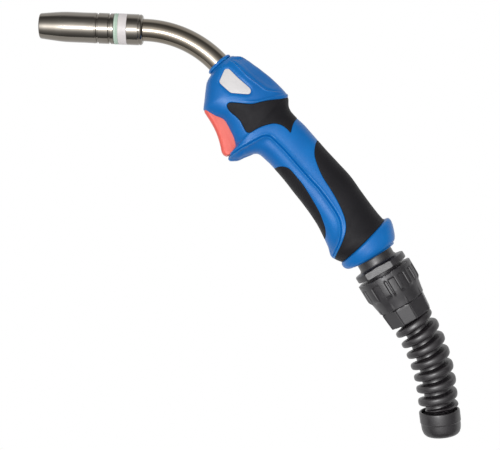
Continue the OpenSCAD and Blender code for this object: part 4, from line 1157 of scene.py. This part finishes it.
# %% The nut's columns and rows
NUT_Z, NUT_L = 23.1, 38.7
NEAR_BARS = [(-154.0, -142.0), (-131.0, -118.4), (-107.0, -96.5), (-84.7, -78.7), (-75.6, -60.7), (-45.0, -28.0),
             (-14.0, -4.0), (4.0, 14.0)]
bars = NEAR_BARS + [(low + 180, high + 180) for low, high in NEAR_BARS]
SHOULDER = 3.0
CORNERS = [-98.0, -61.5, -17.0, 28.0, 73.0, 118.0, 163.0, 217.0, 262.0]
columns = set(np.arange(0, 360, 2.0).tolist())
for low, high in bars:
    for step in (-0.3, 0.0, 0.25, 0.6, 1.1, 1.8, SHOULDER):
        columns.update(((low + step) % 360, (high - step) % 360))
for edge in CORNERS[:-1]:
    columns.update(((edge + e) % 360) for e in (-2.2, -1.4, -0.7, 0.0, 0.7, 1.4, 2.2))
columns = np.array(sorted(columns))
GROUND = [(0.0, 20.5), (0.35, 21.0), (0.9, 21.15), (3.2, 21.2), (3.8, 20.9), (4.4, 20.0), (13.5, 19.8),
          (16.0, 19.5), (19.0, 18.95), (22.0, 18.35), (25.2, 17.9), (25.6, 17.55), (26.0, 17.5)]
nut_z = np.array([
    0.0, 0.15, 0.35, 0.6, 0.9, 1.5, 2.4, 3.2, 3.5, 3.8, 4.0, 4.2, 4.4, 4.8, 6.0, 8.0, 10.0, 11.0, 12.0,
    12.6, 13.2, 13.7, 14.2, 14.7, 15.2, 15.8, 16.5, 17.5, 19.0, 20.5, 22.0, 23.5, 24.6, 25.2, 25.45, 25.7,
    26.0, 26.15, 26.3, 26.5, 26.8, 28.0, 31.0, 34.0, 36.5, 37.6, 38.1, 38.4, 38.6, NUT_L])
print(len(bars), "grip bars,", len(columns), "columns,", len(nut_z), "rows")

# %% The nut's radius at every row and column
def nut_radius(z, degrees):
    ground = np.interp(z, [g[0] for g in GROUND], [g[1] for g in GROUND])
    on_bar = np.zeros(len(degrees))
    for low, high in bars:
        past_low = (degrees - low) % 360
        inward = np.where(past_low <= high - low, np.minimum(past_low, high - low - past_low), 0)
        on_bar = np.maximum(on_bar, np.sqrt(1 - (1 - np.clip(inward / SHOULDER, 0, 1)) ** 2))
    top = np.interp(z, [3.2, 12.0, 15.5, 19.0], [21.2, 21.1, 20.8, 18.95])
    bar = 1 - ease(z, 13.6, 16.6)
    radius = ground + on_bar * bar * max(top - ground, 0)
    turned = (degrees - CORNERS[0]) % 360 + CORNERS[0]
    place = np.clip(np.searchsorted(CORNERS, turned, side="right") - 1, 0, len(CORNERS) - 2)
    low, high = np.array(CORNERS)[place], np.array(CORNERS)[place + 1]
    to_corner = np.minimum(turned - low, high - turned)
    ridge = 0.38 * bell(to_corner, 1.3) * ease(z, 20.0, 22.5)
    if z >= 25.7:
        apothem = np.interp(z, [26.0, NUT_L], [16.95, 15.75])
        facet = np.minimum(apothem / np.cos(np.radians(turned - (low + high) / 2)), apothem + 1.15)
        radius = radius * (1 - ease(z, 26.0, 26.5)) + facet * ease(z, 26.0, 26.5)
        radius = radius - 0.5 * (1 - ease(z, 38.0, NUT_L)) * bell(z - 26.0, 0.3)
    return radius + ridge - 0.7 * ease(z, 38.0, NUT_L) ** 2


def nut_points():
    rad = np.radians(columns)
    rows = [(z, nut_radius(z, columns)) for z in nut_z]
    plain = [(NUT_L, 15.75), (38.4, 15.5), (34.7, 15.5), (34.7, 10.2), (28.0, 10.2), (28.0, 14.0), (0.3, 14.0),
             (0.0, 14.3)]
    rows += [(z, np.full(len(rad), r)) for z, r in plain]
    rings = [np.stack([r * np.cos(rad), r * np.sin(rad), np.full(len(rad), z)], 1) for z, r in rows]
    return np.vstack(rings), len(rows)


points, rows = nut_points()
add_piece("cable_nut_moulded", placed(AT_BALL @ shift(z=NUT_Z), points),
          grid_faces(rows, len(columns), close_rows=True), "cable_nut", "hard_black",
          ["cable_nut"], crease=30)

# %% [markdown]
# The kink guard
#
# A cable that bends at one spot breaks, so it leaves the torch through a rubber guard with one thick rib wound
# round it like a screw thread. The rows of points follow the rib: row after row runs round the guard and one
# pitch down, and ten rows on each side of the rib give it steep walls and a rounded top. The last column of a
# turn is joined to the first column of the next turn, which closes the surface without a seam.

# %% Guard with its wound rib
PITCH, RIB_LATE, CORE_R, BORE_R = 9.65, 1.61, 9.6, 7.3
LEAD, LEAD_R, LEAD_FOOT, TAIL = 14.5, 13.3, 2.9, 7.0
RIB_REACH = [(-16.0, 15.1), (0.0, 15.1), (6.0, 15.85), (71.5, 14.3)]
RIB_HALF = [(4.2, 0.0), (3.75, 0.02), (3.5, 0.12), (3.3, 0.3), (3.1, 0.5), (2.85, 0.68), (2.45, 0.84), (1.9, 0.94),
            (1.2, 0.985), (0.5, 1.0)]
RIB_ROWS = [(-PITCH / 2, 0.0)] + [(-s, share) for s, share in RIB_HALF] + RIB_HALF[::-1]
GUARD_COLUMNS = 96


def guard_points(s, a, r):
    before = np.minimum(s, GUARD_START_L)
    bend_s = np.minimum(s - before, GUARD_BEND_L)
    bend = bend_s / GUARD_BEND_R
    rest = s - before - bend_s
    x = GUARD_BEND_R * (1 - np.cos(bend)) + rest * np.sin(bend) + r * np.cos(a) * np.cos(bend)
    z = before + GUARD_BEND_R * np.sin(bend) + rest * np.cos(bend) - r * np.cos(a) * np.sin(bend)
    return np.stack([x, r * np.sin(a), z], 1)


print("the guard bends by", GUARD_BEND, "degrees on a radius of", round(GUARD_BEND_R, 1), "mm")

# %% Make the guard
def make_guard():
    a = round_angles(GUARD_COLUMNS)
    first, last = -LEAD, GUARD_L + TAIL - 0.2
    per_turn = len(RIB_ROWS)
    turns = int(math.ceil((last - first) / PITCH)) + 1
    rows = []
    for k in range(-1, turns):
        for offset, share in RIB_ROWS:
            s = np.clip(first + RIB_LATE + PITCH * (k + a / (2 * math.pi)) + offset, first, last)
            fade = np.clip((s + 3) / 2, 0, 1) * np.clip((GUARD_L - s) / 3, 0, 1)
            core = np.where(s + LEAD <= LEAD_FOOT, LEAD_R, CORE_R)
            reach = np.interp(s, *zip(*RIB_REACH))
            rows.append(guard_points(s, a, core + (reach - core) * share * fade))
    points = np.vstack(rows)
    n, count = GUARD_COLUMNS, len(rows)
    faces = grid_faces(count, n, close_columns=False)
    for i in range(count - 1 - per_turn):
        low, high = (i + per_turn) * n, (i + 1 + per_turn) * n
        faces.append((i * n + n - 1, low, high, (i + 1) * n + n - 1))
    bore = [guard_points(np.full(n, s), a, np.full(n, BORE_R)) for s in np.linspace(last, first, 22)]
    ends = [guard_points(np.full(n, last), a, np.full(n, CORE_R))] + bore
    ends += [guard_points(np.full(n, first), a, np.full(n, LEAD_R))]
    start = len(points)
    faces += [tuple(v + start for v in f) for f in grid_faces(len(ends), n)]
    return np.vstack([points] + ends), faces


print(len(RIB_ROWS), "rows of points to a turn")

# %% [markdown]
# At both ends the rib runs out, and there its rows fall together. Such faces without area would catch the light
# as specks, so the mesh is cleaned before it is used.

# %% Clean the guard and put it in
def cleaned(piece):
    """Joins points that fell together and drops faces that shrank to nothing."""
    work = bmesh.new()
    work.from_mesh(piece.data)
    bmesh.ops.remove_doubles(work, verts=work.verts, dist=0.000004)
    bmesh.ops.dissolve_degenerate(work, edges=work.edges, dist=0.000002)
    bmesh.ops.recalc_face_normals(work, faces=work.faces)
    work.to_mesh(piece.data)
    work.free()
    piece.data.set_sharp_from_angle(angle=math.radians(40))
    print(f"{piece.name}: {len(piece.data.polygons)} faces after cleaning")


points, faces = make_guard()
kink_guard = add_piece("kink_guard_moulded", placed(AT_GUARD, points), faces,
                       "knuckle", "guard_rubber", ["kink_guard"])
cleaned(kink_guard)

# %% [markdown]
# The end collar is a cup that holds the guard's last turn. Its rim stands open, and a shallow step runs round
# it below the middle.

# %% End collar
add_turned("end_collar_moulded", [
    (13.2, 0.1), (14.3, 0.1), (14.75, 0.5), (14.85, 1.6), (14.85, 4.0), (14.8, 8.3), (14.45, 8.5), (14.4, 9.2),
    (14.33, 12.0), (13.98, 14.4), (13.2, 16.5), (12.0, 17.8), (10.8, 18.4), (8.9, 18.45), (8.5, 18.1), (8.5, 7.4),
    (9.65, 7.2), (9.65, 4.2), (13.0, 4.0)],
    AT_GUARD_END, "knuckle", "guard_rubber", ["guard_end_collar"], 0.3, 112)

# %% [markdown]
# Finishes for what stays as it is
#
# Inner parts such as the conductor, the brass block, the switch and the screws keep their construction shape,
# which is right already, and only get their finish. The record says which finish each of them has.

# %% Finish the construction parts
KEPT = {
    "tip_holder": "brass", "neck_insulation": "insulation", "neck_conductor": "copper", "neck_block": "brass",
    "clamp_screw": "black_steel", "shell_screws": "zinc_steel",
    "switch_body": "switch_plastic", "switch_button": "button_plastic", "switch_terminals": "brass",
    "ball_seat": "seat_plastic"}
for node_name, look in KEPT.items():
    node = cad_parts[node_name]
    node.data.materials.clear()
    node.data.materials.append(FINISH[look])
print(len(KEPT), "parts finished")

# %% [markdown]
# Light, floor and camera
#
# The studio is plain: white all round, a pale floor and three soft lamps, of which the key stands in front and
# shows in gloss as the one bright patch. The world is dimmer for matt surfaces than for the eye, so that
# together with the lamps colours come out as they are written, from the front and from behind. The eye, and
# what a mirror or a glass shows, get the full white.

# %% The white surroundings
world = bpy.data.worlds.new("studio")
scene.world = world
world.use_nodes = True
nodes, links = world.node_tree.nodes, world.node_tree.links
nodes.clear()


def shown_white(nodes, links, share):
    """A factor that is share for rays of the eye, of mirrors and of glass, and zero for all other light."""
    ray = nodes.new("ShaderNodeLightPath")
    total = ray.outputs["Is Camera Ray"]
    for other in ("Is Glossy Ray", "Is Transmission Ray"):
        largest = nodes.new("ShaderNodeMath")
        largest.operation = "MAXIMUM"
        links.new(total, largest.inputs[0])
        links.new(ray.outputs[other], largest.inputs[1])
        total = largest.outputs["Value"]
    scaled = nodes.new("ShaderNodeMath")
    scaled.operation = "MULTIPLY"
    scaled.inputs[1].default_value = share
    links.new(total, scaled.inputs[0])
    return scaled.outputs["Value"]


SKY_LEVEL = 0.52
lighting, white = nodes.new("ShaderNodeBackground"), nodes.new("ShaderNodeBackground")
lighting.inputs["Color"].default_value = (SKY_LEVEL, SKY_LEVEL, SKY_LEVEL, 1)
white.inputs["Color"].default_value = (1, 1, 1, 1)
both = nodes.new("ShaderNodeMixShader")
links.new(shown_white(nodes, links, 1.0), both.inputs["Fac"])
links.new(lighting.outputs["Background"], both.inputs[1])
links.new(white.outputs["Background"], both.inputs[2])
links.new(both.outputs["Shader"], nodes.new("ShaderNodeOutputWorld").inputs["Surface"])
print("white world, level for matt surfaces", SKY_LEVEL)

# %% Lamps
MIDDLE = (-0.055, 0.0, -0.03)


def direction(right, up):
    right, up = math.radians(right), math.radians(up)
    return np.array((math.sin(right) * math.cos(up), -math.cos(right) * math.cos(up), math.sin(up)))


def add_lamp(name, place, size, power, in_mirrors):
    lamp = bpy.data.lights.new(name, "AREA")
    lamp.shape = "RECTANGLE"
    lamp.size, lamp.size_y = size
    lamp.energy = power
    holder = bpy.data.objects.new(name, lamp)
    holder.location = place
    aim = Vector(MIDDLE) - holder.location
    holder.rotation_euler = aim.to_track_quat("-Z", "Y").to_euler()
    holder.visible_glossy = in_mirrors
    scene.collection.objects.link(holder)


KEY_AT, KEY_REACH = (-14.0, -5.0), 1.3
key_place = np.array(MIDDLE) + KEY_REACH * direction(*KEY_AT)
add_lamp("key_lamp", tuple(key_place), (0.42, 0.24), 8.0, True)
add_lamp("fill_lamp", (0.7, -0.8, 0.3), (0.8, 0.8), 1.5, False)
add_lamp("back_lamp", (0.1, 1.35, 0.15), (0.9, 0.9), 6.5, False)
print("key lamp at", key_place.round(2), "m")

# %% [markdown]
# A polished tube shows the room more than itself. Behind the torch that room is the white background and the
# floor, and the metal shows them. In front the room is dimmer, and the key lamp is the bright patch in it. This
# front half is built as half a shell of cards, which hides the white there. How bright each spot of it is, is a
# number on its points: it glows round the key lamp, fades to the sides, and has one faint card higher up. It is
# seen only in reflections, and gives no light to matt surfaces.

# %% Cards for the reflections
CARDS_R, PANEL_STRETCH = 1.5, 0.65
CARD_LIGHT = [(0, 5.0), (9, 5.0), (13, 3.6), (16, 2.9), (20, 2.0), (24, 1.5), (31, 0.9), (38, 0.62), (46, 0.42),
              (55, 0.3), (64, 0.2), (73, 0.16), (80, 0.28), (86, 0.55), (92, 0.9), (180, 0.9)]
SMALL_CARDS = [((-10.0, 26.0), 6.0, 0.6)]


def add_cards():
    centre = direction(*KEY_AT)
    right = direction(KEY_AT[0] + 90, 0)
    up = np.cross(centre, right) * -1
    rings, sides = 90, 120
    away = np.radians(np.repeat(np.arange(1, rings + 1) * 178 / rings, sides))
    bearing = np.tile(round_angles(sides), rings)
    points = (np.cos(away)[:, None] * centre
              + np.sin(away)[:, None] * (np.cos(bearing)[:, None] * right + np.sin(bearing)[:, None] * up))
    stretched = np.hypot(np.cos(bearing) * PANEL_STRETCH, np.sin(bearing))
    level = np.interp(np.degrees(away) * stretched, *zip(*CARD_LIGHT))
    points = np.vstack([points, centre[None]])
    level = np.append(level, CARD_LIGHT[0][1])
    for place, size, light in SMALL_CARDS:
        off = np.degrees(np.arccos(np.clip(points @ direction(*place), -1, 1)))
        level += light * np.exp(-((off / size) ** 2))
    faces = grid_faces(rings, sides) + [(rings * sides, (j + 1) % sides, j) for j in range(sides)]
    faces = [f for f in faces if max(points[v][1] for v in f) < 0.02]
    mesh = bpy.data.meshes.new("reflection_cards")
    mesh.from_pydata((points * CARDS_R).tolist(), [], faces)
    mesh.attributes.new("card_light", "FLOAT", "POINT").data.foreach_set("value", level)
    paint = bpy.data.materials.new("card_light")
    paint.use_nodes = True
    paint.cycles.emission_sampling = "NONE"
    nodes, links = paint.node_tree.nodes, paint.node_tree.links
    nodes.clear()
    value = nodes.new("ShaderNodeAttribute")
    value.attribute_name = "card_light"
    glow = nodes.new("ShaderNodeEmission")
    links.new(value.outputs["Fac"], glow.inputs["Strength"])
    links.new(glow.outputs["Emission"], nodes.new("ShaderNodeOutputMaterial").inputs["Surface"])
    mesh.materials.append(paint)
    cards = bpy.data.objects.new("reflection_cards", mesh)
    cards.location = MIDDLE
    scene.collection.objects.link(cards)
    cards.visible_camera = cards.visible_diffuse = cards.visible_shadow = cards.visible_transmission = False
    print("cards:", len(faces), "faces, all of them in front of the torch")


add_cards()

# %% [markdown]
# The floor is pale paint, well below the torch, which hangs free. To the eye most of it is plain white, as on a
# lit table, and the rest is the paint, which still takes a soft shadow. Further off the white grows to the
# whole, so that the floor runs into the background without a line.

# %% Floor
FLOOR_DROP, FLOOR_HALF, FLOOR_WHITE = 1.4, 9.0, 0.85
floor_mesh = bpy.data.meshes.new("floor")
floor_z = frame_box[0][2] - FLOOR_DROP
floor_corners = [(x * FLOOR_HALF, y * FLOOR_HALF, floor_z) for x, y in ((-1, -1), (1, -1), (1, 1), (-1, 1))]
floor_mesh.from_pydata(floor_corners, [], [(0, 1, 2, 3)])
floor = bpy.data.objects.new("floor", floor_mesh)
scene.collection.objects.link(floor)
floor_finish = bpy.data.materials.new("floor_paint")
floor_finish.use_nodes = True
floor_finish.cycles.emission_sampling = "NONE"
nodes, links = floor_finish.node_tree.nodes, floor_finish.node_tree.links
paint = nodes["Principled BSDF"]
paint.inputs["Base Color"].default_value = (0.9, 0.9, 0.9, 1)
paint.inputs["Roughness"].default_value = 0.9
glow = nodes.new("ShaderNodeEmission")
mix = nodes.new("ShaderNodeMixShader")
reach = nodes.new("ShaderNodeVectorMath")
reach.operation = "LENGTH"
links.new(nodes.new("ShaderNodeTexCoord").outputs["Object"], reach.inputs[0])
growing = nodes.new("ShaderNodeMapRange")
growing.interpolation_type = "SMOOTHSTEP"
for key, value in (("From Min", 0.5), ("From Max", 2.0), ("To Min", FLOOR_WHITE), ("To Max", 1.0)):
    growing.inputs[key].default_value = value
links.new(reach.outputs["Value"], growing.inputs["Value"])
share = nodes.new("ShaderNodeMath")
share.operation = "MULTIPLY"
links.new(shown_white(nodes, links, 1.0), share.inputs[0])
links.new(growing.outputs["Result"], share.inputs[1])
links.new(share.outputs["Value"], mix.inputs["Fac"])
links.new(paint.outputs["BSDF"], mix.inputs[1])
links.new(glow.outputs["Emission"], mix.inputs[2])
links.new(mix.outputs["Shader"], nodes["Material Output"].inputs["Surface"])
floor_mesh.materials.append(floor_finish)
print("floor at", round(floor_z, 3), "m")

# %% Camera
camera_data = bpy.data.cameras.new("camera")
camera_data.sensor_width = 36.0
camera_data.lens = SHEET_AWAY / SHEET_WIDE * camera_data.sensor_width
camera = bpy.data.objects.new("camera", camera_data)
camera.location = (VIEW_X * MM, -VIEW_D * MM, VIEW_Z * MM)
camera.rotation_euler = (math.radians(90), 0, 0)
scene.collection.objects.link(camera)
scene.camera = camera
scene.view_settings.view_transform = "Standard"
print("camera", round(VIEW_D), "mm away")
